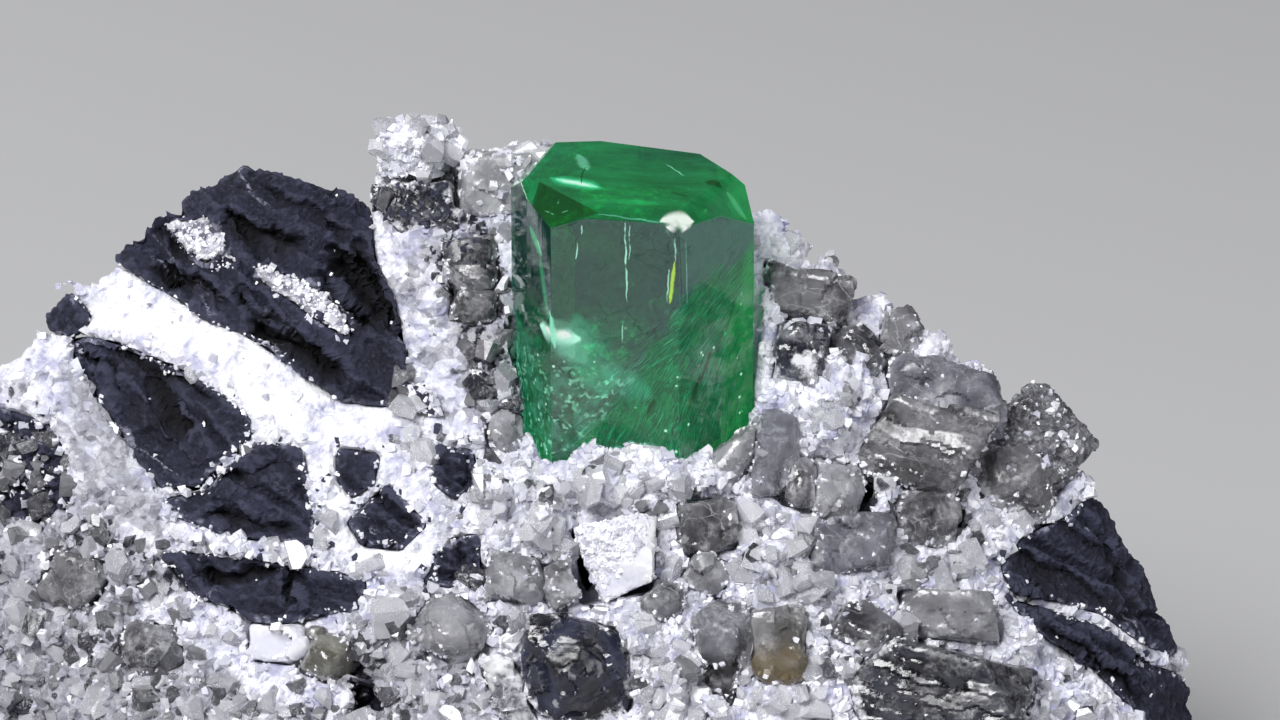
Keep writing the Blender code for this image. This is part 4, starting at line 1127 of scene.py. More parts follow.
class Surroundings:
    """The frame's solids around one piece, to tell what of the piece can be seen and where it meets others."""

    def __init__(self, node: str, kind: str = "") -> None:
        """Joins the triangles of every node but this one, or of one kind of node, in one tree."""
        points, faces = [], []
        for name, other in frame["nodes"].items():
            if name == node or not name.startswith(kind):
                continue
            base = len(points)
            points += [vertex.co.copy() for vertex in other.data.vertices]
            faces += [tuple(base + index for index in polygon.vertices) for polygon in other.data.polygons]
        self.tree = BVHTree.FromPolygons(points, faces)

    def covered(self, places: np.ndarray, directions: np.ndarray, reach: float = 1.0) -> np.ndarray:
        """Whether something lies just outside each point.

        Args:
            places: the points, in metres.
            directions: the surface's direction at each.
            reach: how near it has to be, in millimetres.
        Returns:
            True where the surface is hidden in a joint or stands on the ground.
        """
        hidden = np.zeros(len(places), bool)
        for index, (place, out) in enumerate(zip(places, directions)):
            hidden[index] = place[2] < 0.2 * MM or self.tree.ray_cast(Vector(place), Vector(out), reach * MM)[0] is not None
        return hidden

    def nearness(self, places: np.ndarray, reach: float) -> np.ndarray:
        """How near another solid is to each point.

        Args:
            places: the points, in metres.
            reach: millimetres at which the share falls to 0.
        Returns:
            Shares from 0, far away, to 1, touching.
        """
        share = np.zeros(len(places))
        for index, place in enumerate(places):
            distance = self.tree.find_nearest(Vector(place), reach * MM)[3]
            if distance is not None:
                share[index] = 1 - distance / (reach * MM)
        return share


@dataclass(frozen=True)
class Relief:
    """How far a broken surface stands in and out, in millimetres, at each of its scales.

    Each pair is a height and a width. Beds and cracks run along a line in the face plane.
    """

    swell: tuple[float, float] = (0.0, 4.0)
    facets: tuple[float, float] = (0.0, 1.2)
    grains: tuple[float, float] = (0.0, 0.5)
    beds: tuple[float, float] = (0.0, 1.5)
    cracks: tuple[float, float] = (0.0, 3.0)
    run: float = 33.0
    stretch: float = 3.5
    grow: float = 0.16
    shift: float = 0.0
    unit: float = MM

    def tilted_cells(self, graph: Graph, place: Socket, height: float, width: float) -> Socket:
        """Flat facets: within each cell the surface is one plane with its own tilt and level."""
        cell = graph.cells(place, width)
        tilt = graph.vector("SUBTRACT", cell.outputs["Color"], (0.5, 0.5, 0.5))
        offset = graph.scaled(graph.vector("SUBTRACT", place, cell.outputs["Position"]), 2 / width)
        slope = graph.vector("DOT_PRODUCT", offset, tilt)
        level = graph.math("SUBTRACT", graph.parts(cell.outputs["Color"])[0], 0.5)
        return graph.math("MULTIPLY", graph.math("ADD", slope, level), height)

    def carve(self, obj: bpy.types.Object, weight: str | None = None) -> None:
        """Moves a mesh's points along the surface's direction, as one applied modifier.

        Args:
            obj: the piece, with points close enough to hold the relief.
            weight: an attribute that scales the relief at each point.
        """
        group = bpy.data.node_groups.new("relief", "GeometryNodeTree")
        group.interface.new_socket(name="Geometry", in_out="INPUT", socket_type="NodeSocketGeometry")
        group.interface.new_socket(name="Geometry", in_out="OUTPUT", socket_type="NodeSocketGeometry")
        graph = Graph(group)
        given = graph.node("NodeGroupInput")
        place = graph.vector("ADD", graph.scaled(
            graph.node("GeometryNodeInputPosition").outputs[0], 1 / self.unit), (self.shift, 0.0, self.shift))
        wobble = graph.node("ShaderNodeTexNoise", {"Vector": place, "Scale": 0.6, "Detail": 2.0}).outputs["Color"]
        warped = graph.vector("ADD", place, graph.scaled(graph.vector("SUBTRACT", wobble, (0.5, 0.5, 0.5)), 0.9))
        along = graph.turned(warped, (0, self.run, 0), (self.stretch, self.stretch * 0.7, 1.0))
        terms = []
        if self.swell[0]:
            terms.append(graph.math("MULTIPLY", graph.math(
                "SUBTRACT", graph.noise(place, self.swell[1], 3.0), 0.5), 2 * self.swell[0]))
        if self.facets[0]:
            terms.append(self.tilted_cells(graph, warped, *self.facets))
        if self.grains[0]:
            terms.append(self.tilted_cells(graph, place, *self.grains))
        if self.beds[0]:
            terms.append(self.tilted_cells(graph, along, *self.beds))
        if self.cracks[0]:
            edge = graph.cells(along, self.cracks[1], "DISTANCE_TO_EDGE").outputs["Distance"]
            groove = graph.math("SUBTRACT", graph.step(edge, 0.0, 0.11), 1.0)
            shown = graph.step(graph.noise(place, 5.0, 1.0), 0.42, 0.56)
            terms.append(graph.math("MULTIPLY", graph.math("MULTIPLY", groove, shown), self.cracks[0]))
        total = terms[0]
        for term in terms[1:]:
            total = graph.math("ADD", total, term)
        if weight:
            strength = graph.node("GeometryNodeInputNamedAttribute", {"Name": weight}, data_type="FLOAT").outputs[0]
            total = graph.math("MULTIPLY", total, strength)
        total = graph.math("ADD", total, self.grow)
        moved = graph.scaled(graph.node("GeometryNodeInputNormal").outputs[0], graph.math("MULTIPLY", total, self.unit))
        shifted = graph.node("GeometryNodeSetPosition", {"Geometry": given.outputs[0], "Offset": moved})
        graph.node("NodeGroupOutput", {0: shifted.outputs[0]})
        finish_with(obj, "NODES", node_group=group)
        bpy.data.node_groups.remove(group)


@dataclass(frozen=True)
class Overgrowth:
    """Where small grains lie on the larger pieces, as an outline in the face plane, and how thickly."""

    outline: Outline
    sugar: float = 0.0
    glassy: float = 0.0
    smoky: float = 0.0
    chips: float = 0.0
    crust: float = 0.0
    feather: float = 0.8


OVERGROWTHS = (
    # the cap, its dark neck, and the block beside it
    Overgrowth(px((360, 100), (470, 100), (470, 172), (360, 168)), sugar=2.0, glassy=0.9, crust=1.0, feather=0.5),
    Overgrowth(px((360, 178), (442, 178), (448, 212), (478, 220), (478, 260), (372, 260)), smoky=0.25, chips=1.6,
               feather=0.4),
    Overgrowth(px((448, 140), (556, 140), (556, 165), (515, 178), (500, 210), (448, 205)), sugar=0.5),
    Overgrowth(px((500, 125), (560, 125), (560, 160), (500, 165)), sugar=1.3, glassy=0.9),
    # the sugary top of the white rhomb, and the tail of the upper slab
    Overgrowth(px((560, 500), (645, 500), (640, 540), (626, 560), (598, 588), (565, 560)), sugar=0.9, crust=2.2),
    Overgrowth(px((405, 345), (455, 400), (455, 430), (398, 420)), sugar=1.5, glassy=1.6, smoky=0.5),
    # the granular edge at the left, the seams in the upper slab
    Overgrowth(px((-100, 400), (66, 400), (66, 540), (-100, 540)), sugar=0.40, glassy=0.12, smoky=0.7),
    Overgrowth(px((168, 224), (202, 226), (222, 248), (222, 264), (198, 264), (172, 242)), sugar=0.15, chips=0.35, crust=1.5,
               feather=0.4),
    Overgrowth(px((248, 264), (262, 265), (304, 284), (334, 304), (349, 324), (340, 330), (306, 312), (276, 286)),
               sugar=0.15, chips=0.35, crust=1.5, feather=0.4),
    # frost on the dark cube and on the crystal at the corner
    Overgrowth(px((772, 316), (838, 316), (838, 333), (772, 333)), sugar=0.9),
    Overgrowth(px((1030, 402), (1068, 398), (1088, 450), (1052, 474)), sugar=0.5),
)


def overgrow(obj: bpy.types.Object, hidden: np.ndarray, crust: np.ndarray) -> None:
    """Stores how thickly each kind of small grain lies at each point of a larger piece.

    Args:
        obj: the piece.
        hidden: where nothing is seen.
        crust: how thickly the fine crust lies.
    """
    places = corners(obj)
    spots = FACE.places(places)
    seen = np.where(hidden | (places[:, 2] < 0.6 * MM), 0.0, 1.0)
    shares = np.zeros((len(places), 5))
    shares[:, 4] = crust
    for patch in OVERGROWTHS:
        share = share_inside(spots, patch.outline, patch.feather)[:, None]
        own = np.array([patch.sugar, patch.glassy, patch.smoky, patch.chips, patch.crust])
        shares = np.maximum(shares, share * own)
    for name, values in zip(GRAIN_KINDS, shares.T):
        paint_attribute(obj, name, seen * values)


# ------------------------------------------------------------------------------------------ the rock

@dataclass(frozen=True)
class Patch:
    """A patch of the rock, as an outline in the face plane, and what it is made of there; a high dark share in a hollow
    is painted shade.
    """

    outline: Outline
    grey: float = 0.3
    dark: float = 0.1
    vein: float = 0.0
    glassy: float = 0.8
    smoky: float = 0.2
    dent: float = 0.0
    sugar: float = 1.0
    feather: float = 1.2


@dataclass
class WhiteRock:
    """The white calcite that holds everything together, sugary and faceted."""

    node: str = "calcite_matrix"
    voxel: float = 0.31
    most_faces: int = 190_000
    relief: Relief = Relief(swell=(0.45, 3.0), facets=(0.40, 1.35), grains=(0.16, 0.6))
    pressed: tuple[tuple[str, Outline], ...] = (
        ("dark_crystal_right", px((779, 326), (829, 326), (832, 384), (777, 384))),
    )
    patches: tuple[Patch, ...] = (
        # the broad vein across the left, the vein beside the upper slab, the short fibrous vein
        Patch(px((20, 300), (60, 262), (110, 255), (170, 290), (250, 335), (345, 400), (440, 425), (480, 425),
                 (452, 340), (425, 270), (385, 200), (340, 200), (370, 260), (400, 330), (425, 400), (380, 440),
                 (420, 500), (440, 570), (340, 570), (310, 450), (250, 415), (180, 350), (100, 330), (60, 330)),
              grey=0.02, dark=0.0, vein=1.0, glassy=0.0, smoky=0.0),
        Patch(px((45, 380), (98, 382), (125, 440), (150, 505), (165, 540), (110, 530), (75, 480)),
              grey=0.80, dark=0.08, vein=0.10, glassy=0.0, smoky=0.0, sugar=0.25),
        Patch(px((0, 310), (40, 330), (60, 380), (40, 410), (0, 410)), grey=0.45, dark=0.1, glassy=0.5),
        # the grey sugary mass at the lower left
        Patch(px((-60, 500), (60, 505), (130, 545), (190, 600), (250, 625), (340, 640), (420, 600), (480, 640),
                 (490, 760), (-60, 760)), grey=1.0, dark=0.20, glassy=0.9, smoky=0.9, sugar=0.5, feather=2.0),
        Patch(px((20, 505), (120, 535), (200, 590), (240, 640), (150, 620), (60, 560)), grey=0.8, dark=0.30,
              glassy=0.6, smoky=1.0, sugar=0.5),
        # the column of small grey and dark grains left of the emerald
        Patch(px((420, 170), (470, 180), (520, 300), (530, 430), (480, 430), (450, 340), (420, 260)),
              grey=0.70, dark=0.34, glassy=0.8, smoky=1.4, sugar=0.6, feather=1.2),
        # the white sugary mass right of the emerald, and below it
        Patch(px((750, 200), (800, 240), (900, 340), (900, 470), (800, 430), (752, 400)), grey=0.22, dark=0.03,
              glassy=0.6, smoky=0.1),
        Patch(px((500, 440), (740, 440), (900, 470), (1000, 520), (1010, 720), (480, 720)), grey=0.40, dark=0.10,
              glassy=1.0, smoky=0.35, feather=2.5),
        # the vein beside the upper slab
        Patch(px((338, 200), (385, 200), (425, 270), (452, 340), (480, 425), (440, 425), (425, 400), (400, 330),
                 (370, 260)), grey=0.50, dark=0.08, vein=0.20, glassy=0.15, smoky=0.1, sugar=0.35, feather=0.8),
        # the crust at the emerald's foot, and the hollow round the dark cube
        Patch(px((575, 444), (588, 432), (604, 430), (625, 440), (700, 444), (724, 440), (728, 490), (575, 490)),
              grey=0.30, dark=0.04, glassy=0.7, smoky=0.1, dent=-1.1, sugar=1.7, feather=0.8),
        Patch(px((780, 324), (828, 324), (830, 382), (780, 380)), grey=0.3, glassy=0.0, smoky=0.0, sugar=0.0,
              feather=0.4),
        # the rim over the knob at the left
        Patch(px((34, 274), (96, 272), (96, 304), (34, 306)), grey=0.05, dark=0.0, vein=0.5, glassy=0.0, smoky=0.0,
              dent=-0.55, feather=0.5),
        # the white sugary band under the bottom lens
        Patch(px((130, 605), (215, 590), (250, 620), (300, 655), (350, 700), (335, 722), (260, 700), (190, 650),
                 (135, 632)), grey=0.22, dark=0.04, glassy=0.35, smoky=0.15, sugar=1.3, feather=0.9),
        # dark hollows between the large crystals and the seam left of the white rhomb: sunk in and painted near-black
        # as painted shade
        Patch(px((852, 466), (882, 466), (880, 500), (866, 528), (846, 522)), dark=1.6, glassy=0, smoky=0, dent=2.2,
              feather=0.5),
        Patch(px((944, 500), (962, 494), (982, 526), (940, 532)), dark=1.6, glassy=0, smoky=0, dent=2.0, feather=0.5),
        Patch(px((350, 655), (366, 655), (378, 712), (356, 714)), dark=1.6, glassy=0, smoky=0, dent=2.2, feather=0.5),
        Patch(px((570, 522), (579, 520), (592, 588), (583, 592)), dark=1.4, glassy=0, smoky=0, dent=1.1, feather=0.4),
    )

    def build(self) -> bpy.types.Object:
        """Models the rock from its node.

        Returns:
            The finished piece. It keeps its weights for the grains that are strewn on it.
        """
        around = Surroundings(self.node)
        rock = copy_of(self.node, "white_calcite_rock")
        finish_with(rock, "REMESH", mode="VOXEL", voxel_size=self.voxel * MM)
        self.thin_out(rock, around.covered(corners(rock), normals(rock)))
        places, out = corners(rock), normals(rock)
        hidden = around.covered(places, out)
        joint = around.nearness(places, 1.3)
        tone = self.tone(places)
        calm = 1 - 0.45 * tone[:, 2]
        paint_attribute(rock, "relief", np.where(hidden, 0.15, calm) * np.clip(places[:, 2] / MM, 0, 1))
        paint_attribute(rock, "tone", tone[:, :4])
        self.weights(rock, tone, hidden, joint)
        dent = (tone[:, 6] * (FACE.places(places)[:, 2] < 9.0) * MM)[:, None]
        sunk = np.ascontiguousarray(self.press(places - out * dent), np.float32)
        rock.data.vertices.foreach_set("co", sunk.ravel())
        rock.data.update()
        self.relief.carve(rock, "relief")
        settle(rock, WhiteRockFinish("white_calcite"), [self.node])
        return rock

    def press(self, places: np.ndarray) -> np.ndarray:
        """Presses the thin rock in front of a crystal back into it, so that the crystal shows.

        Args:
            places: the rock's points in metres.
        Returns:
            The pressed points.
        """
        inward = np.array(FACE.place(0, 0, 1) - FACE.place(0, 0, 0))
        for node, outline in self.pressed:
            spots = FACE.places(places)
            front = FACE.places(corners(frame["nodes"][node]))[:, 2].min() + 0.9
            push = share_inside(spots, outline, 0.35) * np.clip(front - spots[:, 2], 0, None)
            places = places + push[:, None] * inward
        return places

    def weights(self, rock: bpy.types.Object, tone: np.ndarray, hidden: np.ndarray, joint: np.ndarray) -> None:
        """Stores how thickly each kind of grain lies at each point of the rock.

        Args:
            rock: the rock.
            tone: its patches' values at each point.
            hidden: where nothing is seen.
            joint: how near other pieces are.
        """
        places = corners(rock)
        front = np.clip((9.0 - FACE.places(places)[:, 2]) / 6.0, 0.0, 1.0)
        seen = np.where(hidden | (places[:, 2] < 0.6 * MM), 0.0, 1.0)
        sugar = np.clip(0.45 + 1.5 * joint, 0, 1.8) * (1 - 0.85 * tone[:, 2]) * (0.22 + 0.78 * front)
        sugar *= np.clip(1 - tone[:, 6], 0, 1) * tone[:, 7]
        chips = np.clip(Surroundings("", "shale").nearness(places, 1.1) * 1.6 - 0.3, 0, 1)
        paint_attribute(rock, "shale_chips", seen * chips * (0.3 + 0.7 * front))
        paint_attribute(rock, "sugar_grains", seen * sugar)
        paint_attribute(rock, "glassy_grains", seen * tone[:, 4] * (1 - joint) * (0.35 + 0.65 * front))
        paint_attribute(rock, "smoky_grains", seen * tone[:, 5] * (0.25 + 0.75 * front))

    def thin_out(self, rock: bpy.types.Object, hidden: np.ndarray) -> None:
        """Leaves few faces where nothing is seen, in the joints and under the foot."""
        behind = FACE.places(corners(rock))[:, 2] > 11.0
        hidden_group = rock.vertex_groups.new(name="hidden")
        hidden_group.add([int(i) for i in np.flatnonzero(hidden)], 1.0, "REPLACE")
        hidden_group.add([int(i) for i in np.flatnonzero(behind & ~hidden)], 0.35, "REPLACE")
        finish_with(rock, "DECIMATE", ratio=min(1.0, self.most_faces / (2 * len(rock.data.polygons))),
                    vertex_group="hidden", vertex_group_factor=1.0)
        rock.vertex_groups.clear()

    def tone(self, places: np.ndarray) -> np.ndarray:
        """What the rock is made of at each point: grey, dark (painted shade in the hollows), vein, 1, its glassy and
        smoky grains, and its dent.
        """
        spots = FACE.places(places)
        tone = np.tile(np.array([0.36, 0.08, 0.0, 1.0, 0.8, 0.25, 0.0, 1.0]), (len(spots), 1))
        for patch in self.patches:
            share = share_inside(spots, patch.outline, patch.feather)[:, None]
            own = np.array([patch.grey, patch.dark, patch.vein, 1.0, patch.glassy, patch.smoky, patch.dent,
                            patch.sugar])
            tone = tone * (1 - share) + share * own
        return tone


@dataclass(frozen=True)
class Ledge:
    """A cleft along a slab, as a line in the face plane, with lower ground to its right if it has a reach."""

    line: Outline
    depth: float
    width: float = 0.32
    reach: float = 0.0

    def sinks(self, spots: np.ndarray) -> np.ndarray:
        """How far the slab lies below its surface at each place.

        Args:
            spots: rows whose first two numbers are across and up.
        Returns:
            The depths in millimetres.
        """
        x, y = spots[:, 0], spots[:, 1]
        nearest, side, run = np.full(len(x), 1e9), np.zeros(len(x)), np.zeros(len(x))
        for index, ((x0, y0), (x1, y1)) in enumerate(zip(self.line, self.line[1:])):
            dx, dy = x1 - x0, y1 - y0
            along = np.clip(((x - x0) * dx + (y - y0) * dy) / (dx * dx + dy * dy), 0, 1)
            away = np.hypot(x - x0 - along * dx, y - y0 - along * dy)
            nearer = away < nearest
            nearest = np.where(nearer, away, nearest)
            side = np.where(nearer, dy * (x - x0) - dx * (y - y0), side)
            run = np.where(nearer, (index + along) / (len(self.line) - 1), run)
        shape = np.exp(-(nearest / (1.25 * self.width)) ** 2)
        if self.reach:
            shape = np.maximum(shape, 0.75 * np.clip(1 - nearest / self.reach, 0, 1) * (side > 0))
        return 1.5 * self.depth * np.clip(6 * np.minimum(run, 1 - run), 0, 1) * shape


@dataclass
class ShaleSlabs:
    """Slabs and chips of black shale, broken along their beds."""

    nodes: tuple[str, ...] = (
        "shale_upper_slab", "shale_lower_slab", "shale_lower_wedge", "shale_bottom_lens",
        "shale_vein_chip_upper", "shale_vein_chip_lower", "shale_left_edge", "shale_left_knob",
        "shale_vein_block", "shale_fringe_block", "shale_right_slab", "shale_right_tongue")
    voxel: float = 0.24
    relief: Relief = Relief(swell=(0.26, 3.5), beds=(0.34, 2.1), facets=(0.10, 0.8), cracks=(0.7, 3.4),
                            grains=(0.11, 0.34), grow=0.13)
    broken: Relief = Relief(swell=(0.40, 2.5), beds=(0.42, 1.4), facets=(0.50, 0.9), cracks=(0.7, 2.0),
                            grains=(0.16, 0.4), grow=0.13)
    granular: tuple[str, ...] = ("shale_left_edge", "shale_fringe_block", "shale_vein_block")
    ledges: tuple[Ledge, ...] = (
        # the upper slab
        Ledge(px((214, 208), (232, 221), (259, 230), (300, 246)), 1.0, 0.30, 1.6),
        Ledge(px((326, 246), (345, 269), (362, 303), (378, 326)), 1.5, 0.55),
        Ledge(px((312, 262), (328, 293), (348, 319), (366, 330)), 0.9, 0.28, 1.2),
        Ledge(px((226, 288), (239, 306), (255, 314), (273, 312)), 0.9, 0.26),
        Ledge(px((236, 317), (262, 332), (292, 346), (325, 366), (336, 378)), 1.6, 0.45, 1.5),
        Ledge(px((140, 224), (158, 232), (178, 246)), 0.7, 0.30, 0.9),
        Ledge(px((140, 264), (166, 276), (196, 286), (226, 306)), 0.8, 0.26, 1.1),
        Ledge(px((346, 236), (366, 272), (386, 300), (398, 334)), 1.1, 0.30, 1.2),
        Ledge(px((248, 178), (280, 200), (318, 212), (345, 232)), 0.5, 0.24, 0.8),
        # the lower slab, the wedge under it, and the lens at the bottom
        Ledge(px((92, 344), (140, 366), (180, 386), (214, 408)), 0.7, 0.28, 1.2),
        Ledge(px((136, 368), (156, 398), (170, 420), (192, 430)), 0.9, 0.28, 1.0),
        Ledge(px((72, 350), (96, 366), (112, 392), (132, 428)), 0.6, 0.26),
        Ledge(px((176, 500), (214, 480), (252, 470), (290, 462)), 0.5, 0.24, 0.9),
        Ledge(px((196, 512), (226, 520), (262, 528), (298, 532)), 0.7, 0.28),
        Ledge(px((188, 572), (226, 580), (262, 574), (284, 566), (294, 612)), 0.8, 0.28),
        # the slab and its tongue at the right
        Ledge(px((1012, 552), (1046, 566), (1086, 588), (1128, 618)), 0.6, 0.26, 1.2),
        Ledge(px((1052, 508), (1082, 536), (1120, 560), (1150, 600)), 0.4, 0.24, 1.0),
        Ledge(px((1040, 632), (1080, 648), (1120, 676), (1160, 716)), 0.7, 0.28, 1.0),
    )

    def build(self) -> list[bpy.types.Object]:
        """Models every slab from its node.

        Returns:
            The finished pieces. They keep their weights for the crust that is strewn on them.
        """
        made = []
        for index, node in enumerate(self.nodes):
            around = Surroundings(node)
            slab = copy_of(node, node.replace("shale", "black_shale"))
            finish_with(slab, "REMESH", mode="VOXEL", voxel_size=self.voxel * MM)
            hidden = around.covered(corners(slab), normals(slab))
            group = slab.vertex_groups.new(name="hidden")
            group.add([int(i) for i in np.flatnonzero(hidden)], 1.0, "REPLACE")
            finish_with(slab, "DECIMATE", ratio=1 - 0.9 * float(hidden.mean()), vertex_group="hidden",
                        vertex_group_factor=1.0)
            slab.vertex_groups.clear()
            places = corners(slab)
            hidden = around.covered(places, normals(slab))
            margin = around.nearness(places, 1.6)
            paint_attribute(slab, "relief", np.where(hidden, 0.1, 1 - 0.3 * margin) * np.clip(places[:, 2] / MM, 0, 1))
            paint_attribute(slab, "margin", margin)
            overgrow(slab, hidden, np.clip((margin - 0.66) / 0.25, 0, 1) + 0.002)
            self.sink_ledges(slab)
            relief = self.broken if node in self.granular else self.relief
            Relief(**{**relief.__dict__, "shift": index * 5.3}).carve(slab, "relief")
            settle(slab, ShaleFinish("black_shale"), [node])
            made.append(slab)
        return made

    def sink_ledges(self, slab: bpy.types.Object) -> None:
        """Sinks the clefts and steps into a slab's front, and stores how deep they are for the painted shade in them.
        """
        places, inward = corners(slab), np.array(FACE.place(0, 0, 1) - FACE.place(0, 0))
        spots = FACE.places(places)[:, :2]
        waves = [Vector(place) / (1.5 * MM) for place in places]
        sway = np.array([(noise.noise(wave), noise.noise(wave + Vector((31.4, 17.2, 53.7)))) for wave in waves])
        facing = np.clip(-1.5 * normals(slab) @ inward / MM, 0, 1)
        deepest = np.max([ledge.sinks(spots + 0.45 * sway) for ledge in self.ledges], axis=0)
        # the clefts' depth, which the shale's finish paints as shade
        paint_attribute(slab, "cleft", np.clip(deepest * facing / 1.2, 0, 1))
        sunk = places + (deepest * facing)[:, None] * inward
        slab.data.vertices.foreach_set("co", np.ascontiguousarray(sunk, np.float32).ravel())
        slab.data.update()


# ------------------------------------------------------------------------------------------ the small grains

@dataclass(frozen=True)
class GrainShape:
    """One small crystal to be repeated: a block, leaning or long, with its corners broken off."""

    seed: int
    lean: float = 1.0
    length: float = 1.0
    cuts: int = 5
    depth: tuple[float, float] = (0.34, 0.50)

    def build(self) -> bpy.types.Object:
        """Models the crystal, about one unit across.

        Returns:
            The new object.
        """
        for other in bpy.context.selected_objects:
            other.select_set(False)
        bpy.ops.mesh.primitive_cube_add(size=1.0)
        obj = bpy.context.active_object
        draws = random.Random(self.seed)
        with editing(obj):
            for axis, degrees in (("X", 45), ("Y", 35.3)):
                bpy.ops.transform.rotate(value=math.radians(degrees), orient_axis=axis, center_override=(0, 0, 0))
            bpy.ops.transform.resize(value=(1, 1, self.lean))
            for axis, degrees in (("Y", -35.3), ("X", -45)):
                bpy.ops.transform.rotate(value=math.radians(degrees), orient_axis=axis, center_override=(0, 0, 0))
            for _ in range(self.cuts):
                out = Vector([draws.gauss(0, 1) for _ in range(3)]).normalized()
                bpy.ops.mesh.select_all(action="SELECT")
                bpy.ops.mesh.bisect(plane_co=out * draws.uniform(*self.depth), plane_no=out, use_fill=True,
                                    clear_outer=True)
            bpy.ops.mesh.select_all(action="SELECT")
            bpy.ops.transform.resize(value=(1, 1, self.length))
            bpy.ops.mesh.normals_make_consistent(inside=False)
        return obj


CHUNKS = tuple(GrainShape(seed, lean, length, cuts) for seed, lean, length, cuts in (
    (1, 1.3, 1.0, 7), (2, 0.8, 1.2, 8), (3, 1.0, 1.5, 8), (4, 1.2, 0.7, 7), (5, 0.75, 1.0, 9), (6, 1.0, 1.1, 8)))
SUGARS = tuple(GrainShape(seed, lean, 1.0, 4) for seed, lean in ((11, 1.35), (12, 0.8), (13, 1.1), (14, 0.9)))


@dataclass(frozen=True)
class GrainField:
    """Small crystals strewn over other pieces, thickest where their weight says so, joined as one mesh."""

    name: str
    finish: Finish
    slot: str
    weight: str
    per_mm2: float
    size: tuple[float, float]
    shapes: tuple[GrainShape, ...] = SUGARS
    sink: float = 0.15
    apart: float = 0.0
    seed: int = 1

    def build(self, hosts: Sequence[bpy.types.Object]) -> bpy.types.Object:
        """Strews the crystals.

        Args:
            hosts: the pieces that they lie on.
        Returns:
            The finished piece.
        """
        shapes = [shape.build() for shape in self.shapes]
        for shape in shapes:
            shape.hide_render = True
        obj = bpy.data.objects.new(self.name, bpy.data.meshes.new(self.name))
        bpy.context.scene.collection.objects.link(obj)
        group = bpy.data.node_groups.new(self.name, "GeometryNodeTree")
        group.interface.new_socket(name="Geometry", in_out="INPUT", socket_type="NodeSocketGeometry")
        group.interface.new_socket(name="Geometry", in_out="OUTPUT", socket_type="NodeSocketGeometry")
        self.wire(Graph(group), hosts, shapes)
        finish_with(obj, "NODES", node_group=group)
        bpy.data.node_groups.remove(group)
        for shape in shapes:
            bpy.data.meshes.remove(shape.data)
        settle(obj, self.finish)
        return obj

    def wire(self, graph: Graph, hosts: Sequence[bpy.types.Object], shapes: Sequence[bpy.types.Object]) -> None:
        """Wires the scattering: points on the hosts, a turned and scaled crystal on each, then one mesh.

        Args:
            graph: the modifier's tree.
            hosts: the pieces that the crystals lie on.
            shapes: the crystals to choose from.
        """
        ground = self.joined(graph, hosts, False)
        weight = graph.node("GeometryNodeInputNamedAttribute", {"Name": self.weight}, data_type="FLOAT").outputs[0]
        per_m2 = self.per_mm2 / MM ** 2
        if self.apart:
            points = graph.node("GeometryNodeDistributePointsOnFaces", {
                "Mesh": ground, "Distance Min": self.apart * MM, "Density Max": per_m2, "Density Factor": weight,
                "Seed": self.seed}, distribute_method="POISSON")
        else:
            points = graph.node("GeometryNodeDistributePointsOnFaces", {
                "Mesh": ground, "Density": graph.math("MULTIPLY", weight, per_m2), "Seed": self.seed},
                distribute_method="RANDOM")
        share = self.draw(graph, "FLOAT", 0.0, 1.0, 1)
        size = graph.between(graph.math("POWER", share, 1.8), self.size[0] * MM, self.size[1] * MM)
        sunk = graph.node("GeometryNodeSetPosition", {"Geometry": points.outputs["Points"], "Offset": graph.scaled(
            points.outputs["Normal"], graph.math("MULTIPLY", size, -self.sink))}).outputs[0]
        scale = graph.scaled(self.draw(graph, "FLOAT_VECTOR", (0.7,) * 3, (1.25,) * 3, 2), size)
        placed = graph.node("GeometryNodeInstanceOnPoints", {
            "Points": sunk, "Instance": self.joined(graph, shapes, True), "Pick Instance": True,
            "Instance Index": self.draw(graph, "INT", 0, len(shapes) - 1, 3),
            "Rotation": self.draw(graph, "FLOAT_VECTOR", (0.0,) * 3, (2 * math.pi,) * 3, 4), "Scale": scale})
        tinted = graph.node("GeometryNodeStoreNamedAttribute", {
            "Geometry": placed.outputs[0], "Name": "tint", "Value": self.draw(graph, "FLOAT", 0.0, 1.0, 5)},
            data_type="FLOAT", domain="INSTANCE")
        whole = graph.node("GeometryNodeRealizeInstances", {"Geometry": tinted.outputs[0]})
        graph.node("NodeGroupOutput", {0: whole.outputs[0]})

    def draw(self, graph: Graph, kind: str, low: object, high: object, seed: int) -> Socket:
        """Draws a random value for each point."""
        first = {"FLOAT_VECTOR": 0, "FLOAT": 2, "INT": 4}[kind]
        made = graph.node("FunctionNodeRandomValue", {first: low, first + 1: high, "Seed": self.seed * 10 + seed},
                          data_type=kind)
        return made.outputs[{"FLOAT_VECTOR": 0, "FLOAT": 1, "INT": 2}[kind]]

    @staticmethod
    def joined(graph: Graph, objects: Sequence[bpy.types.Object], instances: bool) -> Socket:
        """Brings other objects into the tree, as their meshes or as instances."""
        join = graph.node("GeometryNodeJoinGeometry")
        for obj in reversed(objects):
            info = graph.node("GeometryNodeObjectInfo", {"Object": obj, "As Instance": instances})
            graph.tree.links.new(info.outputs["Geometry"], join.inputs[0])
        return join.outputs[0]


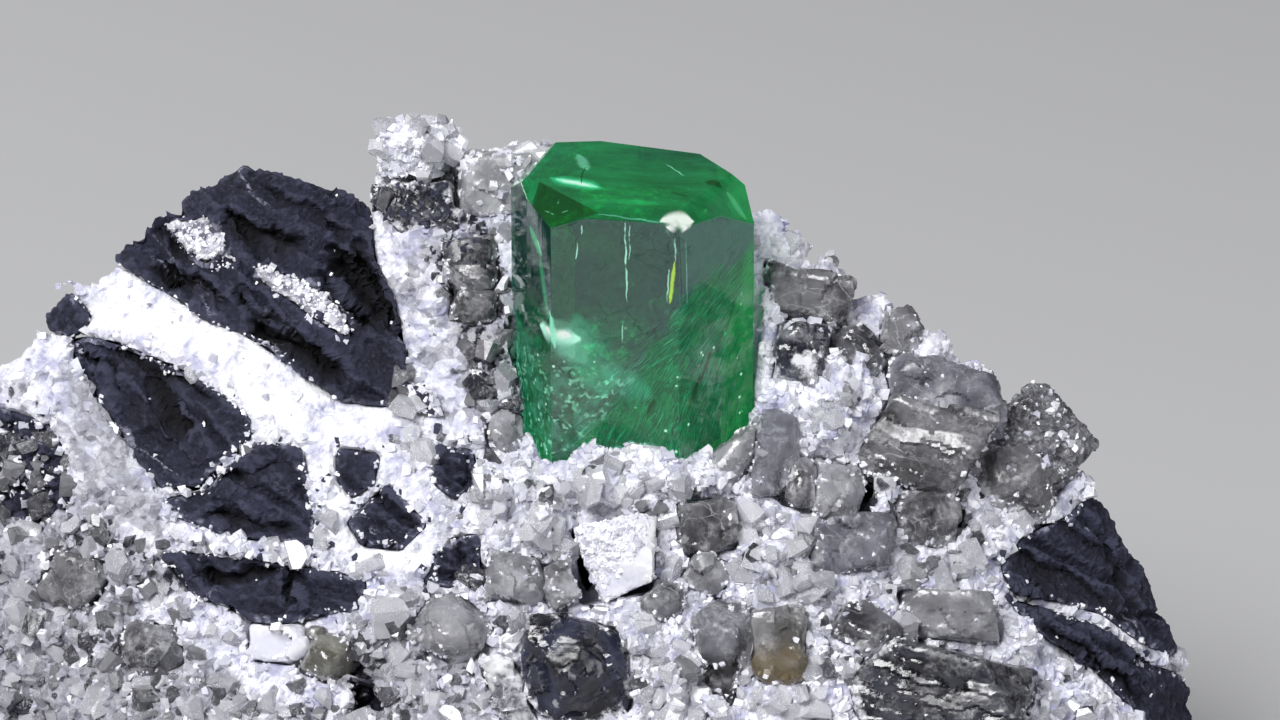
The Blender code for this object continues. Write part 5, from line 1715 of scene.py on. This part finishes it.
@dataclass
class SmallGrains:
    """Everything too small to be a piece of its own: sugar, glassy and smoky grains, and the shale's crust."""

    fields: tuple[GrainField, ...] = (
        GrainField("sugar_grains", GrainFinish("sugar_grain", dark=(0.50, 0.50, 0.60), pale=(0.90, 0.90, 0.95),
                                               clear=0.0), "white_calcite", "sugar_grains", 3.25, (0.22, 0.66)),
        GrainField("glassy_grains", GrainFinish("glassy_grain", dark=(0.50, 0.50, 0.55), pale=(0.90, 0.90, 0.95),
                                                clear=0.45, rough=(0.12, 0.5), frost=0.65), "pale_calcite",
                   "glassy_grains", 1.9, (0.55, 1.75), CHUNKS, 0.24, 0.72, 2),
        GrainField("smoky_grains", GrainFinish("smoky_grain", dark=(0.02, 0.02, 0.03), pale=(0.26, 0.26, 0.28),
                                               clear=0.25, rough=(0.10, 0.4), frost=0.3), "smoky_calcite",
                   "smoky_grains", 0.9, (0.4, 1.4), CHUNKS, 0.18, 0.5, 3),
        GrainField("shale_chips", ShaleFinish("black_shale"), "black_shale", "shale_chips", 1.8, (0.18, 0.60), CHUNKS,
                   0.30, 0.30, 5),
        GrainField("calcite_crust", GrainFinish("crust_grain", dark=(0.55, 0.55, 0.66), pale=(0.97, 0.97, 1.0),
                                                clear=0.0), "white_calcite", "crust", 12.0, (0.11, 0.34), SUGARS, 0.1,
                   0.0, 4),
    )

    def build(self, hosts: Sequence[bpy.types.Object]) -> list[bpy.types.Object]:
        """Strews every kind of grain.

        Args:
            hosts: the pieces that the grains lie on, which hold each kind's weight.
        Returns:
            The finished pieces.
        """
        made = [field.build(hosts) for field in self.fields]
        for host in hosts:
            for name in (*GRAIN_KINDS, "relief"):
                drop_attribute(host, name)
        return made


# ------------------------------------------------------------------------------------------ the crystals

class Habit(Enum):
    """How a crystal's surface is worn."""

    GLASSY = "glassy"
    BLOCKY = "blocky"
    FROSTED = "frosted"
    CLUSTER = "cluster"
    STRIATED = "striated"


RELIEFS = {
    Habit.GLASSY: Relief(swell=(0.08, 2.2), facets=(0.30, 1.7), grains=(0.03, 0.4), grow=0.16),
    Habit.BLOCKY: Relief(swell=(0.05, 2.5), beds=(0.12, 1.1), grains=(0.04, 0.4), grow=0.14, run=12, stretch=3.0),
    Habit.CLUSTER: Relief(swell=(0.35, 2.4), facets=(0.5, 1.3), grains=(0.10, 0.5), grow=-0.35),
    Habit.FROSTED: Relief(swell=(0.16, 1.6), facets=(0.26, 0.95), grains=(0.08, 0.4), grow=0.14),
    Habit.STRIATED: Relief(swell=(0.06, 2.2), beds=(0.26, 0.6), grow=0.14, run=14, stretch=9.0),
}

FINISHES = {
    "smoky_calcite": CloudyCalciteFinish("smoky_calcite", body=(0.25, 0.25, 0.275), depth=(0.055, 0.055, 0.065),
                                         cracks=0.7, clear=0.5, inside=(0.60, 0.60, 0.62), density=300.0),
    "grey_calcite": CloudyCalciteFinish("grey_calcite", body=(0.27, 0.268, 0.288), depth=(0.085, 0.083, 0.090),
                                        cracks=0.65, clear=0.5, inside=(0.62, 0.62, 0.63), density=200.0),
    "lavender_calcite": CloudyCalciteFinish("lavender_calcite", body=(0.28, 0.28, 0.335), frost=0.25,
                                            depth=(0.15, 0.15, 0.19), cracks=0.4, clear=0.45, rough=(0.18, 0.45),
                                            inside=(0.66, 0.66, 0.72), density=160.0),
    "pale_calcite": CloudyCalciteFinish("pale_calcite", body=(0.56, 0.56, 0.60), depth=(0.27, 0.27, 0.29),
                                        cracks=0.6, clear=0.5, inside=(0.70, 0.70, 0.71), density=140.0),
    "amber_calcite": CloudyCalciteFinish("amber_calcite", body=(0.36, 0.355, 0.37), depth=(0.16, 0.155, 0.15),
                                         cracks=0.4, clear=0.5, foot=(0.235, 0.185, 0.105), foot_height=15.0,
                                         inside=(0.62, 0.58, 0.48), density=200.0),
    "dark_mineral": CloudyCalciteFinish("dark_mineral", body=(0.050, 0.053, 0.078), depth=(0.010, 0.010, 0.018),
                                        cracks=0.5, clear=0.10, spacing=1.1, length=5.0, rim=0.25, frost=0.25,
                                        run=(0, 15, 0)),
    "white_calcite": CloudyCalciteFinish("white_crystal", body=(0.96, 0.96, 0.98), depth=(0.78, 0.78, 0.90),
                                         cracks=0.1, clear=0.08, frost=0.2, rim=0.2, speck=0.1),
    "mica": CloudyCalciteFinish("mica", body=(0.80, 0.80, 0.82), depth=(0.10, 0.10, 0.12), cracks=0.9,
                                clear=0.0, spacing=0.5, length=6.0, run=(0, -62, 0), rough=(0.12, 0.3)),
}

OWN_FINISHES = {
    "dark_blue_crystal": CloudyCalciteFinish("dark_blue_mineral", body=(0.028, 0.031, 0.060),
                                             depth=(0.004, 0.004, 0.008), cracks=0.08, clear=0.05, rim=0.35,
                                             frost=0.0, rough=(0.06, 0.3), spacing=3.0, length=4.0,
                                             run=(0, -30, 0)),
    "two_tone_crystal": CloudyCalciteFinish("two_tone_calcite", body=(0.26, 0.265, 0.30), depth=(0.12, 0.12, 0.14),
                                            cracks=0.6, clear=0.4, foot=(0.014, 0.014, 0.016), foot_height=14.6),
    "amber_crystal_foot": CloudyCalciteFinish("yellow_calcite", body=(0.40, 0.39, 0.34), depth=(0.16, 0.155, 0.12),
                                              cracks=0.5, clear=0.55, inside=(0.66, 0.62, 0.45), density=220.0),
    "calcite_upper_block": CloudyCalciteFinish("striped_calcite", body=(0.62, 0.62, 0.65), depth=(0.36, 0.36, 0.39),
                                               cracks=0.7, clear=0.4, spacing=1.0, length=4.0, run=(0, 14, 0)),
    "calcite_seam_upper": CloudyCalciteFinish("seam_calcite", body=(0.62, 0.62, 0.74), depth=(0.16, 0.16, 0.22),
                                              cracks=0.8, clear=0.2, frost=0.7),
    "dark_neck": CloudyCalciteFinish("neck_mineral", body=(0.030, 0.032, 0.05), depth=(0.006, 0.006, 0.012),
                                     cracks=0.1, clear=0.0, rim=0.1, frost=0.12),
}
OWN_FINISHES["dark_prism_foot"] = CloudyCalciteFinish(
    "dark_prism", body=(0.046, 0.048, 0.062), depth=(0.008, 0.008, 0.012), cracks=0.28, clear=0.15, spacing=1.1,
    length=5.0, rim=0.2, frost=0.15, run=(0, 15, 0))
OWN_FINISHES["calcite_seam_middle"] = OWN_FINISHES["calcite_seam_upper"]
OWN_FINISHES["beige_crystal"] = OWN_FINISHES["grey_rhomb_right"] = FINISHES["pale_calcite"]

HABITS = {
    "striated_crystal": Habit.STRIATED, "dark_prism_foot": Habit.STRIATED, "silver_blade": Habit.STRIATED,
    "dark_crystal_right": Habit.BLOCKY, "grey_rhomb_right": Habit.BLOCKY, "white_rhomb": Habit.BLOCKY,
    "calcite_upper_block": Habit.BLOCKY, "calcite_cap": Habit.CLUSTER, "dark_neck": Habit.FROSTED,
    "smoky_crystal_corner": Habit.FROSTED, "calcite_seam_upper": Habit.FROSTED,
    "calcite_seam_middle": Habit.FROSTED,
}


@dataclass
class SingleCrystals:
    """The larger crystals that sit in the rock, each with its own wear and finish."""

    voxel: float = 0.17
    breaks: int = 5
    skip: tuple[str, ...] = ("emerald_crystal", "calcite_matrix")
    whole: tuple[str, ...] = ("white_rhomb", "calcite_cap", "calcite_seam_upper", "calcite_seam_middle", "silver_blade",
                              "striated_crystal", "dark_prism_foot")
    bare: tuple[str, ...] = ("dark_blue_crystal", "dark_prism_foot", "silver_blade", "dark_crystal_right", "dark_neck",
                             "amber_crystal", "white_crystal_foot")
    cuts: ClassVar[dict[str, tuple[Outline, ...]]] = {
        "white_rhomb": (px((573, 520), (606, 604)), px((606, 601), (660, 577))),
    }

    def build(self) -> list[bpy.types.Object]:
        """Models every crystal that has a node of its own.

        Returns:
            The finished pieces.
        """
        made = []
        for part in frame["record"]["subparts"]:
            node, slot = part["node"], part["material_slot"]
            if node not in self.skip and slot != "black_shale":
                made.append(self.crystal(node, slot, len(made)))
        return made

    def crystal(self, node: str, slot: str, index: int) -> bpy.types.Object:
        """Models one crystal: its corners broken off, its faces stepped along the cleavage."""
        crystal = copy_of(node, node.replace("crystal", "stone"))
        self.break_corners(crystal, node)
        finish_with(crystal, "REMESH", mode="VOXEL", voxel_size=self.voxel * MM)
        around = Surroundings(node)
        places = corners(crystal)
        hidden = around.covered(places, normals(crystal))
        group = crystal.vertex_groups.new(name="hidden")
        group.add([int(i) for i in np.flatnonzero(hidden)], 1.0, "REPLACE")
        finish_with(crystal, "DECIMATE", ratio=1 - 0.8 * float(hidden.mean()), vertex_group="hidden",
                    vertex_group_factor=1.0)
        crystal.vertex_groups.clear()
        places = corners(crystal)
        margin = around.nearness(places, 1.2)
        paint_attribute(crystal, "margin", margin)
        patchy = np.array([noise.noise(Vector(place) / (1.3 * MM)) for place in places])
        crust = np.clip((margin - 0.40) / 0.35, 0, 1) * np.clip(0.5 + 1.6 * patchy, 0, 1.2) + 0.10 * (patchy > 0.30)
        overgrow(crystal, around.covered(places, normals(crystal)), crust * (0.2 if node in self.bare else 1.0))
        habit = HABITS.get(node, Habit.GLASSY)
        relief = RELIEFS[habit]
        Relief(**{**relief.__dict__, "shift": index * 3.7}).carve(crystal)
        pick_only(crystal)
        if habit is not Habit.FROSTED:
            bpy.ops.object.shade_smooth_by_angle(angle=math.radians(28))
        settle(crystal, OWN_FINISHES.get(node, FINISHES[slot]), [node])
        return crystal

    def break_corners(self, crystal: bpy.types.Object, node: str) -> None:
        """Breaks a few corners off, and cuts along the lines that are given for the crystal.

        Args:
            crystal: the piece, still with its node's few faces.
            node: its node's name, which chooses the corners.
        """
        draws = random.Random(node)
        cuts = []
        points = corners(crystal)
        middle = points.mean(axis=0)
        for _ in range(0 if node in self.whole else self.breaks):
            out = Vector((draws.uniform(-1, 1), draws.uniform(-1, 0.1), draws.uniform(-0.6, 1))).normalized()
            reach = float(((points - middle) @ np.array(out)).max())
            cuts.append((Vector(middle) + out * reach * draws.uniform(0.76, 0.92), out))
        for (x0, y0), (x1, y1) in self.cuts.get(node, ()):
            out = (FACE.place(y1 - y0, x0 - x1) - FACE.place(0, 0)).normalized()
            cuts.append((FACE.place(x0, y0), out))
        with editing(crystal):
            for place, out in cuts:
                bpy.ops.mesh.select_all(action="SELECT")
                bpy.ops.mesh.bisect(plane_co=place, plane_no=out, use_fill=True, clear_outer=True)


@dataclass
class Emerald:
    """The emerald prism, cut side by side, and the fibres and flakes that lie inside it."""

    node: str = "emerald_crystal"
    edge: float = 0.05

    def build(self) -> list[bpy.types.Object]:
        """Models the crystal and what lies inside it.

        Returns:
            The finished pieces.
        """
        return [self.prism(), *Inclusions().build()]

    def prism(self) -> bpy.types.Object:
        """Cuts a block to the crystal's sides and its crown, and eases its edges."""
        for other in bpy.context.selected_objects:
            other.select_set(False)
        bpy.ops.mesh.primitive_cube_add(size=60.0)
        crystal = bpy.context.active_object
        crystal.name = crystal.data.name = "emerald_prism"
        with editing(crystal):
            for cut in (*PRISM_CUTS, BRIGHT_CORNER):
                bpy.ops.mesh.select_all(action="SELECT")
                bpy.ops.mesh.bisect(plane_co=cut.normal * cut.distance, plane_no=cut.normal, use_fill=True,
                                    clear_outer=True)
            bpy.ops.mesh.select_all(action="SELECT")
            bpy.ops.mesh.remove_doubles(threshold=0.001)
            bpy.ops.mesh.normals_make_consistent(inside=False)
        finish_with(crystal, "BEVEL", width=self.edge, segments=2, limit_method="ANGLE",
                    angle_limit=math.radians(8), use_clamp_overlap=True)
        stand(crystal, PRISM.matrix())
        pick_only(crystal)
        bpy.ops.object.shade_smooth_by_angle(angle=math.radians(10))
        settle(crystal, EmeraldFinish("emerald"), [self.node])
        return crystal


@dataclass(frozen=True)
class FibreSheet:
    """A sheet just inside one side of the emerald that fibres lie along, with the outline that they fill."""

    azimuth: float
    distance: float
    outline: Outline
    per_mm2: float
    length: tuple[float, float]
    lean: tuple[float, float]
    depth: tuple[float, float] = (0.15, 2.2)
    scatter: float = 12.0
    thick: float = 0.05


@dataclass
class Inclusions:
    """Fine fibres inside the emerald, which fan up and to the right from its foot."""

    sheets: tuple[FibreSheet, ...] = (
        FibreSheet(-90, 5.50, ((-2.6, -1.0), (3.7, -1.0), (3.7, 10.6), (2.9, 9.4), (-1.8, 2.4)), 10.0, (0.7, 2.4),
                   (76, 42)),
        FibreSheet(-30, 6.03, ((-2.8, -1.0), (3.0, -1.0), (3.4, 11.2), (-2.8, 10.9)), 10.0, (0.7, 2.4), (76, 30),
                   depth=(0.12, 1.4)),
        # long streaks where the fibres begin
        FibreSheet(-90, 5.50, ((-3.0, 0.4), (3.7, 7.6), (3.7, 11.2), (2.9, 10.2), (-2.4, 3.4)), 3.4, (1.4, 3.8),
                   (50, 40), scatter=7.0, thick=0.075),
        FibreSheet(-30, 6.03, ((-2.8, 8.4), (3.4, 8.8), (3.4, 12.0), (-2.8, 11.4)), 4.0, (1.4, 3.6), (44, 30),
                   depth=(0.12, 1.2), scatter=7.0, thick=0.075),
    )
    finish: Finish = InclusionFinish("green_fibre", deep=(0.0, 0.07, 0.03), bright=(0.12, 1.0, 0.58))
    veil_depth: float = 2.7
    veil_rim: float = 0.45
    inset: float = 0.08
    veil_finish: Finish = InclusionFinish("green_veil", deep=(0.0, 0.16, 0.045), bright=(0.06, 0.85, 0.32))

    def build(self) -> list[bpy.types.Object]:
        """Lays the fibres of every sheet.

        Returns:
            The finished pieces.
        """
        fibres = [self.lay(sheet, index) for index, sheet in enumerate(self.sheets, 1)]
        return fibres + [self.veil(sheet, index) for index, sheet in enumerate(self.sheets[:2], 1)]

    def veil(self, sheet: FibreSheet, index: int) -> bpy.types.Object:
        """Models the ragged veil of healed cracks that lies deeper than a sheet's fibres.

        Args:
            sheet: the sheet.
            index: its number, for its name.
        Returns:
            The finished piece.
        """
        veil = self.cut_sheet(sheet, self.veil_rim)
        veil.name = veil.data.name = f"emerald_veil_{index}"
        with editing(veil):
            bpy.ops.mesh.subdivide(number_cuts=5)
            bpy.ops.mesh.quads_convert_to_tris()
            bpy.ops.mesh.subdivide(number_cuts=3)
        Relief(swell=(0.5, 2.6), facets=(0.35, 1.1), grow=0.0, unit=1.0).carve(veil)
        finish_with(veil, "SOLIDIFY", thickness=0.05, offset=0.0)
        paint_attribute(veil, "tint", np.full(len(veil.data.vertices), 0.5))
        self.trim(veil, sheet, self.veil_depth)
        settle(veil, self.veil_finish)
        return veil

    def cut_sheet(self, sheet: FibreSheet, rim: float = 0.0) -> bpy.types.Object:
        """Cuts a flat sheet to its outline less a rim, lying at the origin in millimetres."""
        for other in bpy.context.selected_objects:
            other.select_set(False)
        bpy.ops.mesh.primitive_plane_add(size=60.0)
        ground = bpy.context.active_object
        with editing(ground):
            for (x0, y0), (x1, y1) in zip(sheet.outline, sheet.outline[1:] + sheet.outline[:1]):
                bpy.ops.mesh.select_all(action="SELECT")
                out = Vector((y1 - y0, x0 - x1, 0)).normalized()
                bpy.ops.mesh.bisect(plane_co=Vector((x0, y0, 0)) - out * rim, plane_no=out, clear_outer=True)
        return ground

    def needle(self) -> bpy.types.Object:
        """Models one fibre, a unit long and thick, tapered to both ends."""
        for other in bpy.context.selected_objects:
            other.select_set(False)
        bpy.ops.mesh.primitive_cylinder_add(vertices=3, radius=0.5, depth=0.3)
        obj = bpy.context.active_object
        for side in (-1, 1):
            with editing(obj):
                bpy.ops.mesh.select_all(action="DESELECT")
                bpy.ops.object.mode_set(mode="OBJECT")
                for face in obj.data.polygons:
                    face.select = face.normal.z * side > 0.9
                bpy.ops.object.mode_set(mode="EDIT")
                bpy.ops.mesh.extrude_region_move(TRANSFORM_OT_translate={"value": (0, 0, 0.35 * side)})
                bpy.ops.transform.resize(value=(0.1, 0.1, 1))
        with editing(obj):
            bpy.ops.transform.rotate(value=math.radians(90), orient_axis="Y", center_override=(0, 0, 0))
        return obj

    def lay(self, sheet: FibreSheet, index: int) -> bpy.types.Object:
        """Strews fibres over one sheet, and stands it in the crystal.

        Args:
            sheet: the sheet.
            index: its number, for its name and its chance values.
        Returns:
            The finished piece.
        """
        ground = self.cut_sheet(sheet)
        needle = self.needle()
        obj = bpy.data.objects.new(f"emerald_fibres_{index}", bpy.data.meshes.new(f"emerald_fibres_{index}"))
        bpy.context.scene.collection.objects.link(obj)
        group = bpy.data.node_groups.new("fibres", "GeometryNodeTree")
        group.interface.new_socket(name="Geometry", in_out="OUTPUT", socket_type="NodeSocketGeometry")
        self.wire(Graph(group), sheet, ground, needle, index)
        finish_with(obj, "NODES", node_group=group)
        bpy.data.node_groups.remove(group)
        for helper in (ground, needle):
            bpy.data.meshes.remove(helper.data)
        self.trim(obj, sheet)
        settle(obj, self.finish)
        return obj

    def trim(self, obj: bpy.types.Object, sheet: FibreSheet, depth: float = 0.0) -> None:
        """Stands a flat piece behind its side of the crystal and cuts off what would reach outside.

        Args:
            obj: the piece, lying at the origin in millimetres.
            sheet: the sheet that it belongs to.
            depth: how deep it stands.
        """
        stand(obj, PRISM.matrix().inverted() @ PRISM.side(sheet.azimuth, sheet.distance, depth))
        with editing(obj):
            for cut in PRISM_CUTS:
                bpy.ops.mesh.select_all(action="SELECT")
                bpy.ops.mesh.bisect(plane_co=cut.normal * (cut.distance - self.inset), plane_no=cut.normal,
                                    use_fill=True, clear_outer=True)
        stand(obj, PRISM.matrix())

    def wire(self, graph: Graph, sheet: FibreSheet, ground: bpy.types.Object, needle: bpy.types.Object,
             seed: int) -> None:
        """Wires the scattering of one sheet's fibres.

        Args:
            graph: the modifier's tree.
            sheet: the sheet.
            ground: its outline, as a flat mesh in millimetres.
            needle: the fibre to repeat.
            seed: chooses the chance values.
        """
        def draw(low: float, high: float, number: int) -> Socket:
            """Draws a random number for each fibre."""
            return graph.node("FunctionNodeRandomValue", {2: low, 3: high, "Seed": seed * 20 + number},
                              data_type="FLOAT").outputs[1]

        ground_mesh = graph.node("GeometryNodeObjectInfo", {"Object": ground}).outputs["Geometry"]
        points = graph.node("GeometryNodeDistributePointsOnFaces", {"Mesh": ground_mesh, "Density": sheet.per_mm2,
                                                                    "Seed": seed}).outputs["Points"]
        deep = graph.node("ShaderNodeCombineXYZ", {2: draw(-sheet.depth[1], -sheet.depth[0], 1)}).outputs[0]
        sunk = graph.node("GeometryNodeSetPosition", {"Geometry": points, "Offset": deep}).outputs[0]
        up = graph.parts(graph.node("GeometryNodeInputPosition").outputs[0])[1]
        lean = graph.node("ShaderNodeMapRange", {"Value": up, "From Min": 0.0, "From Max": 9.0,
                                                 "To Min": math.radians(sheet.lean[0]),
                                                 "To Max": math.radians(sheet.lean[1])}).outputs[0]
        off = math.radians(sheet.scatter)
        turn = graph.node("ShaderNodeCombineXYZ", {
            0: draw(-1.5, 1.5, 2), 1: draw(-off, off, 3), 2: graph.math("ADD", lean, draw(-off, off, 4))}).outputs[0]
        length = graph.between(graph.math("POWER", draw(0, 1, 5), 1.6), sheet.length[0], sheet.length[1])
        thick = draw(sheet.thick * 0.6, sheet.thick * 1.7, 6)
        scale = graph.node("ShaderNodeCombineXYZ", {0: length, 1: thick, 2: thick}).outputs[0]
        fibre = graph.node("GeometryNodeObjectInfo", {"Object": needle, "As Instance": True}).outputs["Geometry"]
        placed = graph.node("GeometryNodeInstanceOnPoints", {"Points": sunk, "Instance": fibre, "Rotation": turn,
                                                             "Scale": scale})
        tinted = graph.node("GeometryNodeStoreNamedAttribute", {
            "Geometry": placed.outputs[0], "Name": "tint", "Value": draw(0, 1, 7)}, data_type="FLOAT",
            domain="INSTANCE")
        whole = graph.node("GeometryNodeRealizeInstances", {"Geometry": tinted.outputs[0]})
        graph.node("NodeGroupOutput", {0: whole.outputs[0]})


# ------------------------------------------------------------------------------------------ studio

@dataclass
class Studio:
    """A pale floor, soft lights and the camera."""

    lens: float = 200.0

    def build(self) -> None:
        """Makes the floor, the lights and the camera."""
        self.floor()
        self.light("key_light", (-0.42, -0.70, 0.72), 0.50, 12.5, (1.0, 1.0, 1.0))
        self.light("fill_light", (0.70, -0.60, 0.45), 0.60, 3.2, (0.96, 0.97, 1.0))
        self.light("rim_light", (-0.75, 0.55, 0.55), 0.40, 5.0, (1.0, 1.0, 1.0))
        self.world()
        self.camera()
        bpy.context.scene.view_settings.view_transform = "Standard"

    def floor(self) -> None:
        """A wide plain floor under the specimen."""
        for other in bpy.context.selected_objects:
            other.select_set(False)
        bpy.ops.mesh.primitive_plane_add(size=6.0, location=(0, 0, 0))
        floor = bpy.context.active_object
        floor.name = "studio_floor"
        floor.data.materials.append(PlainFinish("pale_floor").material())

    def light(self, name: str, place: tuple[float, float, float], size: float, power: float,
              colour: Colour) -> None:
        """A square soft light that faces the specimen."""
        lamp = bpy.data.lights.new(name, "AREA")
        lamp.size, lamp.energy, lamp.color = size, power, colour
        obj = bpy.data.objects.new(name, lamp)
        bpy.context.scene.collection.objects.link(obj)
        obj.location = place
        aim = Vector((0, 0, 0.02)) - obj.location
        obj.rotation_euler = aim.to_track_quat("-Z", "Y").to_euler()

    def world(self) -> None:
        """An even pale glow from all sides."""
        world = bpy.data.worlds.new("studio")
        world.use_nodes = True
        shade = world.node_tree.nodes["Background"]
        shade.inputs["Color"].default_value = (0.93, 0.95, 1.0, 1.0)
        shade.inputs["Strength"].default_value = 0.12
        bpy.context.scene.world = world

    def camera(self) -> None:
        """A long lens that faces the face plane squarely."""
        data = bpy.data.cameras.new("camera")
        data.lens, data.sensor_width = self.lens, 36.0
        data.clip_start, data.clip_end = 0.01, 20.0
        obj = bpy.data.objects.new("camera", data)
        bpy.context.scene.collection.objects.link(obj)
        obj.location = FACE.place(0, 0, -CAMERA_DISTANCE)
        obj.rotation_euler = (math.pi / 2 - FACE.lean, 0, 0)
        bpy.context.scene.camera = obj


def main() -> None:
    """Builds the specimen, then the studio."""
    logging.basicConfig(level=logging.INFO, format="%(message)s")
    rock = WhiteRock().build()
    slabs = ShaleSlabs().build()
    crystals = SingleCrystals().build()
    SmallGrains().build([rock, *slabs, *crystals])
    Emerald().build()
    Studio().build()


if __name__ == "__main__":
    main()
